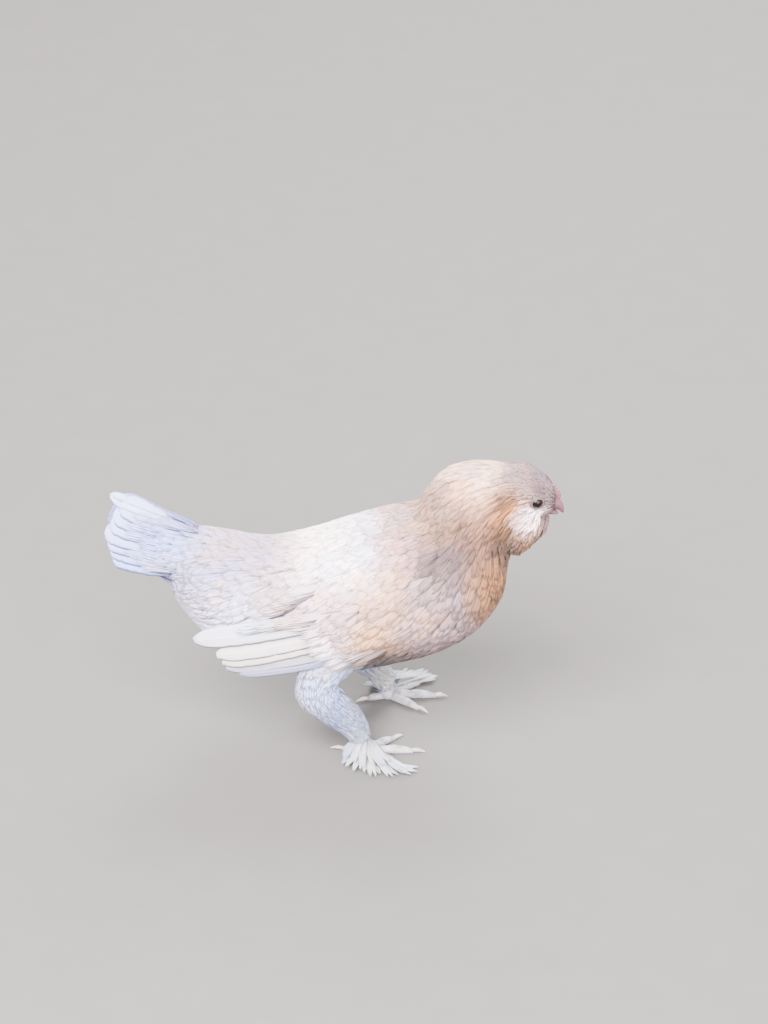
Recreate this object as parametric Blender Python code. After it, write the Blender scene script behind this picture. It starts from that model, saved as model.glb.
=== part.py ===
"""Barbu d'Uccle bantam pullet, life size, walking with one foot a little ahead of the other.

The bird faces +X, its right side is towards -Y and it stands on the plane Z = 0. Every part of the
body is one closed solid in its own object, and neighbours keep a thin gap where they meet.
Sizes are in metres.
"""

import math
import random

import bmesh
import bpy
import numpy as np
from mathutils import Matrix, Vector

CM = 0.01
MM = 0.001

# The thin gap that separates parts which meet
GAP = 0.35 * MM

# Sections along the forms
TORSO_RINGS = 22
HEAD_RINGS = 12
NECK_RINGS = 8
WING_RINGS = 8
CORE_RINGS = 6
SHEET_ROWS = 16

# Facets around the large and the small round forms
BODY_SIDES = 20
BEAK_SIDES = 12
LIMB_SIDES = 10
NECK_SIDES = 14
CORE_SIDES = 8
TOE_SIDES = 8
CLAW_SIDES = 6

# Vanes and locks: thickness at the root and at the tip
VANE_ROOT = 0.62 * MM
VANE_TIP = 0.5 * MM

# Outlines of a vane: share of its length, share of its width
HACKLE_OUTLINE = ((0.0, 0.55), (0.42, 1.0), (0.76, 0.8), (1.0, 0.14))
COVERT_OUTLINE = ((0.0, 0.55), (0.55, 1.0), (0.88, 0.86), (1.0, 0.3))
FLIGHT_OUTLINE = ((0.0, 0.45), (0.45, 0.92), (0.84, 1.0), (0.96, 0.72), (1.0, 0.28))
LOCK_OUTLINE = ((0.0, 0.55), (0.38, 1.0), (0.72, 0.8), (1.0, 0.16))

# Torso from the root of the tail to the front of the breast: station x, centre z, half height
# and half width of the section across the body, in centimetres
TORSO_STATIONS = (
    (-10.4, 11.5, 0.6, 0.5),
    (-10.1, 11.15, 1.85, 1.3),
    (-9.2, 10.65, 2.8, 2.35),
    (-7.4, 9.65, 3.55, 3.45),
    (-4.8, 8.75, 3.75, 4.3),
    (-2.0, 8.7, 4.2, 4.9),
    (0.5, 9.2, 4.6, 5.0),
    (3.0, 9.8, 4.7, 5.0),
    (5.5, 10.35, 4.55, 4.6),
    (7.5, 10.95, 3.85, 3.9),
    (8.7, 11.45, 2.75, 2.8),
    (9.3, 11.75, 1.45, 1.5),
    (9.5, 11.9, 0.5, 0.5),
)

# Neck from the shoulders to the nape: x, z, half depth and half width, in centimetres
NECK_STATIONS = (
    (3.6, 11.9, 1.5, 1.8),
    (4.6, 12.9, 2.1, 2.4),
    (5.8, 13.8, 2.6, 2.75),
    (7.2, 14.6, 2.8, 2.6),
    (8.5, 15.25, 2.45, 2.2),
    (9.3, 15.5, 2.0, 1.85),
)

# Head from the nape to the face: x, z, half depth and half width, in centimetres
HEAD_STATIONS = (
    (8.5, 15.2, 0.8, 0.8),
    (8.8, 15.35, 1.3, 1.2),
    (9.5, 15.7, 1.78, 1.55),
    (10.3, 15.85, 1.72, 1.54),
    (11.0, 15.72, 1.45, 1.36),
    (11.6, 15.5, 1.12, 1.02),
    (12.0, 15.28, 0.74, 0.66),
    (12.15, 15.15, 0.4, 0.34),
)


def smooth_rows(stations, count):
    """Reads `count` rows from a smooth curve through the rows of a table."""
    table = np.array(stations, float)
    steps = np.linalg.norm(np.diff(table[:, :2], axis=0), axis=1)
    knots = np.concatenate([[0.0], np.cumsum(steps)])
    slopes = np.gradient(table, knots, axis=0)
    places = np.linspace(0.0, knots[-1], count)
    spans = np.clip(np.searchsorted(knots, places) - 1, 0, len(knots) - 2)
    length = knots[spans + 1] - knots[spans]
    t = ((places - knots[spans]) / length)[:, None]
    start, end = table[spans], table[spans + 1]
    pull_out, pull_in = slopes[spans] * length[:, None], slopes[spans + 1] * length[:, None]
    return (
        (2 * t**3 - 3 * t**2 + 1) * start
        + (t**3 - 2 * t**2 + t) * pull_out
        + (-2 * t**3 + 3 * t**2) * end
        + (t**3 - t**2) * pull_in
    )


def ring(centre, along, half_up, half_side, side=(0, 1, 0)):
    """One elliptical section: a matrix that puts a unit circle in its place."""
    along = Vector(along).normalized()
    side = Vector(side)
    side = (side - along * side.dot(along)).normalized()
    up = along.cross(side)
    turn = Matrix((side, up, along)).transposed().to_4x4()
    return Matrix.Translation(centre) @ turn @ Matrix.Diagonal((half_side, half_up, 1, 1))


def loft(name, rings, sides):
    """A closed form through elliptical sections, with flat ends."""
    bm = bmesh.new()
    loops = []
    for matrix in rings:
        made = bmesh.ops.create_circle(bm, segments=sides, radius=1, matrix=matrix)
        loops.append(made["verts"])
    for first, second in zip(loops, loops[1:]):
        for i in range(sides):
            j = (i + 1) % sides
            bm.faces.new((first[i], first[j], second[j], second[i]))
    bm.faces.new(loops[0])
    bm.faces.new(loops[-1])
    bmesh.ops.recalc_face_normals(bm, faces=bm.faces)
    return new_object(name, bm)


def new_object(name, bm):
    """Turns a bmesh into an object of the scene."""
    mesh = bpy.data.meshes.new(name)
    bm.to_mesh(mesh)
    bm.free()
    obj = bpy.data.objects.new(name, mesh)
    bpy.context.scene.collection.objects.link(obj)
    return obj


def spine_rings(stations, count, grow=0.0, y=0.0, heading=None):
    """Sections of a form whose spine lies in an upright plane at y, each `grow` larger all round.

    They stand across the spine, or across one heading where it is given.
    """
    rows = smooth_rows(stations, count) * CM
    spine = [Vector((x, y, z)) for x, z, _, _ in rows]
    rings = []
    for i, (_, _, half_up, half_side) in enumerate(rows):
        along = heading or spine[min(i + 1, count - 1)] - spine[max(i - 1, 0)]
        reach = grow if i == count - 1 else -grow if i == 0 else 0.0
        centre = spine[i] + Vector(along).normalized() * reach
        rings.append(ring(centre, along, half_up + grow, half_side + grow))
    return rings


def torso_rings(grow=0.0):
    """Upright sections of the torso, each `grow` larger all round."""
    return spine_rings(TORSO_STATIONS, TORSO_RINGS, grow, heading=(1, 0, 0))


def head_rings(grow=0.0):
    """Upright sections of the head, each `grow` larger all round."""
    return spine_rings(HEAD_STATIONS, HEAD_RINGS, grow, heading=(1, 0, 0))


def neck_rings(grow=0.0):
    """Sections across the neck, each `grow` larger all round."""
    return spine_rings(NECK_STATIONS, NECK_RINGS, grow)


def around(rings, radius):
    """Maps the skin of a loft.

    The map takes the distance along the spine, the distance turned from the top line, measured
    at `radius`, and the height over the skin. It runs straight on past the last section.
    """
    centres = np.array([matrix.translation for matrix in rings])
    sides = np.array([matrix.col[0].xyz for matrix in rings])
    ups = np.array([matrix.col[1].xyz for matrix in rings])
    steps = np.linalg.norm(np.diff(centres, axis=0), axis=1)
    knots = np.concatenate([[0.0], np.cumsum(steps)])
    ahead = Vector(centres[-1] - centres[-2]).normalized()

    def read(rows, along):
        return Vector([np.interp(along, knots, rows[:, axis]) for axis in range(3)])

    def place(along, turn, lift):
        angle = turn / radius
        side = read(sides, along)
        up = read(ups, along)
        centre = read(centres, along) + ahead * max(along - knots[-1], 0.0)
        side_reach = side + side.normalized() * lift
        up_reach = up + up.normalized() * lift
        return centre + side_reach * math.sin(angle) + up_reach * math.cos(angle)

    return place


def clear_of_torso(point, clearance):
    """Moves a point out of the torso, across its length, until it has this clearance."""
    rows = smooth_rows(TORSO_STATIONS, TORSO_RINGS) * CM
    centre, half_up, half_side = (np.interp(point.x, rows[:, 0], rows[:, i]) for i in (1, 2, 3))
    rise = point.z - centre
    ratio = math.hypot(rise / (half_up + clearance), point.y / (half_side + clearance))
    if ratio >= 1.0:
        return point
    return Vector((point.x, point.y / ratio, centre + rise / ratio))


def blade(place, start, end, half_width, outline, lifts, tilt=0.0, bow=0.0):
    """One thin tapered vane on a mapped skin, in metres.

    It runs from start to end on the map, `bow` aside in its middle, and from the first to the
    second of its lifts. Its left edge stands `tilt` higher than its shaft.
    """
    start, end = Vector(start), Vector(end)
    run = end - start
    across = Vector((-run.y, run.x)).normalized()
    count = len(outline) - 1
    bm = bmesh.new()
    bmesh.ops.create_grid(bm, x_segments=count, y_segments=1, size=1)
    bmesh.ops.triangulate(bm, faces=bm.faces)
    made = bmesh.ops.extrude_face_region(bm, geom=bm.faces[:], use_keep_orig=True)
    upper = {item for item in made["geom"] if isinstance(item, bmesh.types.BMVert)}
    for vertex in bm.verts:
        t, width = outline[round((vertex.co.x + 1) / 2 * count)]
        side = vertex.co.y * width
        spot = start + run * t + across * (side * half_width + bow * 4 * t * (1 - t))
        lift = lifts[0] + (lifts[1] - lifts[0]) * t + tilt * side
        if vertex in upper:
            lift += VANE_ROOT + (VANE_TIP - VANE_ROOT) * t
        vertex.co = place(spot.x, spot.y, lift)
    bmesh.ops.recalc_face_normals(bm, faces=bm.faces)
    return new_object("vane", bm)


def apply_modifiers(obj):
    """Replaces the mesh by the evaluated one and clears the modifiers."""
    graph = bpy.context.evaluated_depsgraph_get()
    mesh = bpy.data.meshes.new_from_object(obj.evaluated_get(graph))
    obj.modifiers.clear()
    old = obj.data
    obj.data = mesh
    bpy.data.meshes.remove(old)


def cut(obj, *tools):
    """Cuts each tool out of the object and removes the tools."""
    for tool in tools:
        boolean = obj.modifiers.new("Cut", "BOOLEAN")
        boolean.operation = "DIFFERENCE"
        boolean.solver = "EXACT"
        boolean.object = tool
    apply_modifiers(obj)
    for tool in tools:
        bpy.data.objects.remove(tool)
    keep_largest(obj)


def join(obj, pieces, solver="EXACT"):
    """Unites the pieces with the object and removes them."""
    group = bpy.data.collections.new("Pieces")
    for piece in pieces:
        group.objects.link(piece)
    boolean = obj.modifiers.new("Join", "BOOLEAN")
    boolean.operation = "UNION"
    boolean.operand_type = "COLLECTION"
    boolean.solver = solver
    boolean.collection = group
    apply_modifiers(obj)
    for piece in pieces:
        bpy.data.objects.remove(piece)
    bpy.data.collections.remove(group)
    keep_largest(obj)


def keep_largest(obj):
    """Keeps the largest closed surface of the object."""
    bm = bmesh.new()
    bm.from_mesh(obj.data)
    bmesh.ops.remove_doubles(bm, verts=bm.verts, dist=1e-7)
    left = set(bm.faces)
    shells = []
    while left:
        shell, front = set(), [left.pop()]
        while front:
            face = front.pop()
            shell.add(face)
            for edge in face.edges:
                if not edge.is_manifold:
                    continue
                for other in edge.link_faces:
                    if other in left:
                        left.remove(other)
                        front.append(other)
        shells.append(shell)
    shells.sort(key=lambda shell: sum(face.calc_area() for face in shell))
    scrap = [face for shell in shells[:-1] for face in shell]
    bmesh.ops.delete(bm, geom=scrap, context="FACES")
    bm.to_mesh(obj.data)
    bm.free()


def torso_tool():
    """The torso a gap larger, to cut its neighbours clear of it."""
    return loft("torso_tool", torso_rings(GAP), BODY_SIDES)


def neck_tool(grow=GAP):
    """The neck a gap larger, or by more where its hackle has to be cleared too."""
    return loft("neck_tool", neck_rings(grow), NECK_SIDES)


def head_tool():
    """The head a gap larger."""
    return loft("head_tool", head_rings(GAP), BODY_SIDES)


# Hackle: tiers of feathers round the neck, each from its root to its tip as distances from the
# shoulders up the neck, with the number of feathers and how far round to each side they reach
HACKLE_TIERS = (
    (6.5, 4.5, 9, 100.0),
    (5.6, 3.6, 9, 104.0),
    (4.75, 2.7, 8, 98.0),
    (4.0, 1.9, 6, 70.0),
)
HACKLE_R = 2.7
HACKLE_WIDTH = 0.62
HACKLE_LIFTS = (-2.0, 3.0)
HACKLE_CLEAR = 1.1
HACKLE_REACH = 4.2
# Every second feather of a tier lies this much higher than its neighbours, in millimetres
STAGGER = 1.05
# How far locks differ from one another: share of their size, and aside at the tip in millimetres
LOCK_VARY = 0.08
LOCK_SWAY = 0.8
HACKLE_VARY = 1.2
HACKLE_SWAY = 0.5

# Eyes: centre and radius, and the lids round them, in centimetres
EYE_X, EYE_Y, EYE_Z, EYE_R = 10.85, 1.16, 15.72, 0.345
LID_Y, LID_R, LID_ROUND = 1.34, 0.35, 0.085

# Beak: upper and lower half as x, z, half depth and half width, in centimetres
UPPER_BEAK = (
    (11.2, 15.3, 0.52, 0.51),
    (11.75, 15.16, 0.47, 0.45),
    (12.12, 14.94, 0.35, 0.33),
    (12.36, 14.68, 0.21, 0.2),
    (12.48, 14.4, 0.07, 0.06),
)
LOWER_BEAK = (
    (11.2, 14.76, 0.34, 0.41),
    (11.65, 14.58, 0.27, 0.34),
    (11.94, 14.46, 0.19, 0.24),
    (12.2, 14.34, 0.08, 0.09),
)
BEAK_SECTIONS = 8
MOUTH_GAP = 0.5 * MM
NOSTRIL = (11.87, 0.42, 15.22)
NOSTRIL_SIZE = (0.17, 0.13, 0.075)

# Comb: a thin blade from the bill up over the forehead, and its points from front to back as
# distance along it and height
COMB_X, COMB_Z, COMB_LEAN = 11.96, 15.74, 64.0
COMB_SIZE = (0.6, 0.1, 0.28)
COMB_POINTS = ((-0.42, 0.23), (-0.21, 0.31), (0.02, 0.35), (0.24, 0.3), (0.42, 0.21))
COMB_POINT_R = 0.11
# A point's thickness as a share of the blade's, and its middle and half size as shares of its height
COMB_POINT_THIN, COMB_POINT_MIDDLE, COMB_POINT_HALF = 0.8, 0.6, 0.55

# Beard under the bill and the muff on each cheek: their cores, in centimetres
BEARD_STATIONS = (
    (11.5, 14.35, 0.4, 0.6),
    (11.0, 14.0, 0.7, 0.8),
    (10.45, 13.35, 0.75, 0.85),
    (10.05, 12.75, 0.6, 0.7),
    (9.8, 12.25, 0.3, 0.4),
)
BEARD_TIERS = ((0.3, 1.6, 4), (0.9, 2.3, 5), (1.55, 3.0, 4))
BEARD_R, BEARD_HALF_WIDTH, BEARD_LIFTS = 0.8, 0.4, (-1.6, 2.8)
BEARD_ROUND = 88.0
MUFF_STATIONS = (
    (10.9, 14.9, 1.3, 0.4, 0.22),
    (10.47, 14.5, 1.44, 0.78, 0.4),
    (10.13, 13.9, 1.48, 0.88, 0.45),
    (9.9, 13.25, 1.44, 0.73, 0.4),
    (9.77, 12.65, 1.35, 0.38, 0.23),
)
MUFF_TIERS = ((0.2, 1.4, 3), (0.8, 2.05, 4), (1.4, 2.75, 3))
MUFF_R, MUFF_HALF_WIDTH, MUFF_LIFTS = 0.75, 0.45, (-1.4, 2.6)
MUFF_ROUND = (20.0, 165.0)
BEARD_REACH = 5.0

# Tail: its core, the ridge line that both sides fall away from, and the flight feathers of a
# side from the top one to the lowest, in centimetres
TAIL_STATIONS = (
    (-9.0, 11.75, 1.65, 1.15),
    (-10.2, 12.3, 1.75, 1.15),
    (-11.2, 12.75, 1.6, 0.95),
    (-12.1, 13.1, 1.1, 0.55),
)
RIDGE_X, RIDGE_Z, RIDGE_SLOPE = -9.25, 14.25, 0.5
RIDGE_HALF = 0.3
ROOF_NEAR_X, ROOF_NEAR, ROOF_FAR_X, ROOF_FAR = -9.5, 0.12, -13.5, 0.3
TAIL_FEATHERS = 6
TAIL_ROOTS = ((-9.7, 13.5), (-10.0, 11.15))
TAIL_TIP_Z = (15.4, 12.7)
TAIL_TIP_X, TAIL_ROUND, TAIL_LONGEST = -14.15, 2.2, 0.6
TAIL_HALF_WIDTH, TAIL_TILT = 0.76, 1.4
TAIL_VARY = 0.08
TAIL_COVERTS = 4
TAIL_COVERT_ROOTS = ((-10.2, 13.7), (-10.4, 11.6))
TAIL_COVERT_TIPS = ((-12.3, 14.7), (-12.6, 12.3))
TAIL_COVERT_LIFTS = (-1.1, 4.3)
TAIL_COVERT_HALF_WIDTH = 0.5

# Wing: the sheet that its feathers lie on, as station x, middle height, half height and half
# width, and its core as x, z, distance from the centre plane, half height and half thickness
SHEET_STATIONS = (
    (-11.0, 9.3, 5.3, 4.1),
    (-9.0, 9.1, 5.3, 4.45),
    (-6.0, 8.95, 5.1, 4.85),
    (-3.0, 9.0, 5.0, 5.1),
    (0.0, 9.3, 4.9, 5.2),
    (3.0, 9.9, 4.9, 5.15),
    (5.5, 10.6, 4.8, 4.8),
)
WING_STATIONS = (
    (5.0, 10.7, 4.5, 0.8, 0.4),
    (4.2, 10.6, 4.8, 1.6, 0.55),
    (2.6, 10.3, 5.05, 2.2, 0.6),
    (0.8, 9.8, 5.15, 2.35, 0.55),
    (-1.0, 9.3, 5.15, 2.15, 0.45),
    (-2.3, 8.95, 5.05, 1.7, 0.3),
)
# Flight feathers from the innermost secondary at the top to the outermost primary below
FLIGHTS = 9
FLIGHT_ROOTS = ((0.4, 11.2), (1.0, 7.9))
FLIGHT_TIP_Z = (8.75, 5.55)
FLIGHT_TIP_X, FLIGHT_STEP, FLIGHT_CURVE = -9.3, 2.2, 1.4
FLIGHT_HALF_WIDTH = (0.72, 0.56)
FLIGHT_TILT, FLIGHT_LIFT, FLIGHT_BOW, FLIGHT_VARY = 1.75, 0.5, -2.0, 0.06
# How steeply the sheet may fall away above and below, as a share of its half height
SHEET_LIMIT = 0.95
# Rows of wing coverts: roots and tips of the top and the lowest one, how many, lifts, half width
WING_COVERTS = (
    ((2.2, 11.4), (2.4, 8.1), (-2.5, 10.9), (-2.0, 7.15), 7, (0.4, 4.4), 0.46),
    ((3.7, 11.6), (3.8, 8.9), (0.3, 11.5), (0.5, 7.9), 6, (0.9, 6.0), 0.44),
)
COVERT_TILT, COVERT_VARY = 0.9, 1.0

# Legs. Each foot stands at its own place; the left one is a step ahead. In centimetres
LEG_Y = 3.1
STEP = {"right": 0.0, "left": 1.5}
SIDE_SIGN = {"right": -1.0, "left": 1.0}
THIGH_STATIONS = (
    (0.9, 7.6, 1.9, 0.9),
    (0.4, 6.7, 1.8, 1.0),
    (-0.4, 5.7, 1.4, 1.05),
    (-1.1, 4.9, 1.0, 0.9),
    (-1.6, 4.3, 0.7, 0.65),
)
SHANK_STATIONS = (
    (-1.8, 4.15, 0.66, 0.52),
    (-1.4, 3.75, 0.72, 0.54),
    (-0.5, 2.75, 0.68, 0.52),
    (0.45, 1.5, 0.52, 0.46),
    (0.75, 0.8, 0.46, 0.44),
)
FOOT_X, SOLE_R, SOLE_Z = 0.9, 0.48, 0.39
# Hock feathers: distance down the thigh to root and tip, how many and how far round to the rear
HOCK_TIERS = ((2.1, 4.3, 4), (2.95, 5.2, 4))
HOCK_R, HOCK_ROUND, HOCK_HALF_WIDTH, HOCK_LIFTS = 1.0, (75.0, 180.0), 0.46, (-2.2, 3.6)
# Shank feathers: distance down the shank to root and tip, how many
SHANK_TIERS = ((0.3, 2.0, 4), (1.0, 2.8, 4), (1.7, 3.5, 4))
SHANK_R, SHANK_ROUND, SHANK_HALF_WIDTH, SHANK_LIFTS = 0.7, (-20.0, 175.0), 0.46, (-1.6, 4.2)
FEATHER_CLEAR = 1.2 * MM
# Toes: heading in degrees from straight ahead (positive is inwards), length and radius
TOES = {
    "middle": (0.0, 2.9, 0.30),
    "inner": (38.0, 2.3, 0.28),
    "outer": (-38.0, 2.4, 0.28),
    "hind": (165.0, 1.3, 0.26),
}
# Sections of a toe: share of its length, of its radius, and how high its middle lies
TOE_SECTIONS = (
    (-0.08, 0.9, 1.0),
    (0.25, 1.0, 0.95),
    (0.45, 0.86, 0.95),
    (0.62, 0.95, 0.93),
    (0.84, 0.76, 0.93),
    (1.0, 0.5, 0.85),
)
# Foot feathers, fanned out from the sole and the outer toe: heading in degrees outwards from
# straight ahead, where along the toe each one starts, and its length
FOOT_FEATHERS = (
    (128.0, -0.05, 2.0),
    (108.0, 0.05, 2.5),
    (90.0, 0.18, 2.7),
    (74.0, 0.32, 2.6),
    (60.0, 0.48, 2.3),
    (48.0, 0.66, 1.8),
)
FOOT_HALF_WIDTH, FOOT_FEATHER_Z, FOOT_LIFTS = 0.42, 0.2, (0.0, 3.4)
# Claws: length, radius as a share of the toe's, how steeply the tip turns down, and sections as
# share of the length, of the radius, and height of the middle in radii
CLAW_LENGTH, CLAW_R, CLAW_DROOP = 0.75, 0.5, 0.6
CLAW_SECTIONS = (
    (0.03, 0.8, 1.35),
    (0.3, 0.9, 1.5),
    (0.6, 0.62, 1.2),
    (0.85, 0.32, 0.75),
    (1.0, 0.1, 0.4),
)


def side_rings(stations, count, side_sign, grow=0.0):
    """Sections of a flat form on the side of the body: its spine runs back, its section is tall."""
    rows = smooth_rows(stations, count) * CM
    spine = [Vector((x, side_sign * y, z)) for x, z, y, _, _ in rows]
    rings = []
    for i, (_, _, _, half_up, half_side) in enumerate(rows):
        along = spine[min(i + 1, count - 1)] - spine[max(i - 1, 0)]
        rings.append(ring(spine[i], along, half_up + grow, half_side + grow))
    return rings


def shares(count):
    """Even shares from 0 to 1 for a row of `count` feathers."""
    return [i / (count - 1) for i in range(count)]


def between(ends, share):
    """A value or a point part of the way between two."""
    first, last = np.array(ends[0], float), np.array(ends[1], float)
    return first + (last - first) * share


def fringe(place, tiers, radius, angles, half_width, lifts, outline, seed):
    """Tiers of locks along a mapped form, every second one a little higher than its neighbours."""
    draw = random.Random(seed)
    blades = []
    for root, tip, count in tiers:
        for i, share in enumerate(shares(count)):
            turn = math.radians(between(angles, share)) * radius * CM
            length = (tip - root) * draw.uniform(1 - LOCK_VARY, 1 + LOCK_VARY)
            width = half_width * CM * draw.uniform(1 - LOCK_VARY, 1 + LOCK_VARY)
            sway = draw.uniform(-LOCK_SWAY, LOCK_SWAY) * MM
            raised = [(lift + STAGGER * (i % 2)) * MM for lift in lifts]
            start, end = (root * CM, turn), ((root + length) * CM, turn + sway)
            blades.append(blade(place, start, end, width, outline, raised))
    return blades


def build_torso():
    """The trunk with its breast and back."""
    return loft("torso", torso_rings(), BODY_SIDES)


def hackle_place():
    """The skin of the neck, which runs on over the shoulders clear of them."""
    skin = around(neck_rings(), HACKLE_R * CM)

    def place(along, turn, lift):
        point = skin(along, turn, lift)
        return clear_of_torso(point, HACKLE_CLEAR * MM + lift) if lift > 0 else point

    return place


def build_neck():
    """The neck and its hackle, cut clear of the torso."""
    neck = loft("neck", neck_rings(), NECK_SIDES)
    place = hackle_place()
    draw = random.Random(11)
    blades = []
    for root, tip, count, reach in HACKLE_TIERS:
        pitch = 2 * math.radians(reach) * HACKLE_R * CM / (count - 1)
        for i, share in enumerate(shares(count)):
            turn = math.radians(reach) * (2 * share - 1) * HACKLE_R * CM
            raised = STAGGER * (i % 2)
            tip_along = tip * CM + draw.uniform(-HACKLE_VARY, HACKLE_VARY) * MM
            tip_turn = turn + draw.uniform(-HACKLE_SWAY, HACKLE_SWAY) * MM
            lifts = [(lift + raised) * MM for lift in HACKLE_LIFTS]
            start, end = (root * CM, turn), (tip_along, tip_turn)
            blades.append(blade(place, start, end, pitch * HACKLE_WIDTH, HACKLE_OUTLINE, lifts))
    join(neck, blades)
    cut(neck, torso_tool())
    return neck


def eye_ball(name, side, grow=0.0):
    """One round eye."""
    bm = bmesh.new()
    centre = Vector((EYE_X, SIDE_SIGN[side] * EYE_Y, EYE_Z)) * CM
    bmesh.ops.create_uvsphere(
        bm, u_segments=12, v_segments=6, radius=EYE_R * CM + grow, matrix=Matrix.Translation(centre)
    )
    return new_object(name, bm)


def ellipsoid(place, sizes, segments=10, rings=6):
    """A round form with three half sizes, in centimetres, set by a matrix."""
    bm = bmesh.new()
    matrix = place @ Matrix.Diagonal((*[size * CM for size in sizes], 1))
    bmesh.ops.create_uvsphere(bm, u_segments=segments, v_segments=rings, radius=1, matrix=matrix)
    return new_object("ellipsoid", bm)


def eye_lids(side):
    """The two lids, as a rounded rim about the eye."""
    bm = bmesh.new()
    centre = Vector((EYE_X, SIDE_SIGN[side] * LID_Y, EYE_Z)) * CM
    start = centre + Vector((LID_R * CM, 0, 0))
    rim = bmesh.ops.create_circle(
        bm, segments=5, radius=LID_ROUND * CM, matrix=Matrix.Translation(start)
    )
    edges = list({edge for vertex in rim["verts"] for edge in vertex.link_edges})
    bmesh.ops.spin(
        bm, geom=rim["verts"] + edges, cent=centre, axis=(0, 1, 0), angle=2 * math.pi, steps=14,
        use_merge=True,
    )
    bmesh.ops.recalc_face_normals(bm, faces=bm.faces)
    return new_object("lids", bm)


def build_head():
    """The head with its lids and its two eye sockets."""
    head = loft("head", head_rings(), BODY_SIDES)
    join(head, [eye_lids(side) for side in SIDE_SIGN])
    tools = [neck_tool(), torso_tool()]
    tools += [eye_ball(f"{side}_socket", side, GAP) for side in SIDE_SIGN]
    cut(head, *tools)
    return head


def upper_tool(grow=GAP):
    """The upper half of the bill a gap larger."""
    return loft("upper_tool", spine_rings(UPPER_BEAK, BEAK_SECTIONS, grow), BEAK_SIDES)


def lower_tool():
    """The lower half of the bill a gap larger."""
    return loft("lower_tool", spine_rings(LOWER_BEAK, BEAK_SECTIONS, GAP), BEAK_SIDES)


def build_beak():
    """The two halves of the bill, the line of the mouth between them, and the nostrils."""
    upper = loft("beak_upper", spine_rings(UPPER_BEAK, BEAK_SECTIONS), BEAK_SIDES)
    x, y, z = NOSTRIL
    nostrils = [
        ellipsoid(Matrix.Translation(Vector((x, sign * y, z)) * CM), NOSTRIL_SIZE, 8, 5)
        for sign in SIDE_SIGN.values()
    ]
    cut(upper, head_tool(), *nostrils)
    lower = loft("beak_lower", spine_rings(LOWER_BEAK, BEAK_SECTIONS), BEAK_SIDES)
    cut(lower, head_tool(), upper_tool(MOUTH_GAP))
    return upper, lower


def build_comb():
    """The small single comb with its low points."""
    place = Matrix.Translation(Vector((COMB_X, 0, COMB_Z)) * CM)
    place = place @ Matrix.Rotation(math.radians(COMB_LEAN), 4, "Y")
    comb = ellipsoid(place, COMB_SIZE, 12, 6)
    comb.name = "comb"
    thin = COMB_SIZE[1] * COMB_POINT_THIN
    points = []
    for along, height in COMB_POINTS:
        spot = Matrix.Translation(Vector((along, 0, height * COMB_POINT_MIDDLE)) * CM)
        sizes = (COMB_POINT_R, thin, height * COMB_POINT_HALF)
        points.append(ellipsoid(place @ spot, sizes, 6, 4))
    join(comb, points)
    cut(comb, head_tool(), upper_tool())
    return comb


def beard_tool(grow=GAP):
    """The beard a gap larger, or by more where its locks have to be cleared too."""
    return loft("beard_tool", spine_rings(BEARD_STATIONS, CORE_RINGS, grow), CORE_SIDES)


def build_beard():
    """The beard under the bill: a core and the locks that hang over it."""
    rings = spine_rings(BEARD_STATIONS, CORE_RINGS)
    beard = loft("beard", rings, CORE_SIDES)
    place = around(rings, BEARD_R * CM)
    angles = (-BEARD_ROUND, BEARD_ROUND)
    locks = fringe(
        place, BEARD_TIERS, BEARD_R, angles, BEARD_HALF_WIDTH, BEARD_LIFTS, LOCK_OUTLINE, 21
    )
    join(beard, locks)
    cut(beard, head_tool(), neck_tool(HACKLE_REACH * MM), torso_tool(), upper_tool(), lower_tool())
    return beard


def build_muff(side):
    """The muff on one cheek: a core and the locks that sweep down over it."""
    sign = SIDE_SIGN[side]
    rings = side_rings(MUFF_STATIONS, CORE_RINGS, sign)
    muff = loft(f"muff_{side}", rings, CORE_SIDES)
    place = around(rings, MUFF_R * CM)
    angles = [sign * angle for angle in MUFF_ROUND]
    locks = fringe(
        place, MUFF_TIERS, MUFF_R, angles, MUFF_HALF_WIDTH, MUFF_LIFTS, LOCK_OUTLINE, 31
    )
    join(muff, locks)
    tools = [head_tool(), neck_tool(HACKLE_REACH * MM), torso_tool(), upper_tool(), lower_tool()]
    cut(muff, *tools, beard_tool(BEARD_REACH * MM), eye_ball("eye_tool", side, GAP), lid_tool(side))
    return muff


def lid_tool(side):
    """A round form over the lids, to cut the muff clear of them."""
    centre = Vector((EYE_X, SIDE_SIGN[side] * LID_Y, EYE_Z)) * CM
    reach = LID_R + LID_ROUND + GAP / CM
    return ellipsoid(Matrix.Translation(centre), (reach, reach, reach), 10, 6)


def tail_place(sign):
    """One side of the tail, which falls away from the ridge like a steep roof."""
    def place(x, z, lift):
        ridge = RIDGE_Z * CM + (RIDGE_X * CM - x) * RIDGE_SLOPE
        spread = np.interp(-x, [-ROOF_NEAR_X * CM, -ROOF_FAR_X * CM], [ROOF_NEAR, ROOF_FAR])
        drop = max(ridge - z, 0.0)
        size = math.hypot(1.0, spread)
        y = RIDGE_HALF * CM + drop * spread + lift / size
        return Vector((x, sign * y, z + lift * spread / size))

    return place


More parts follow.
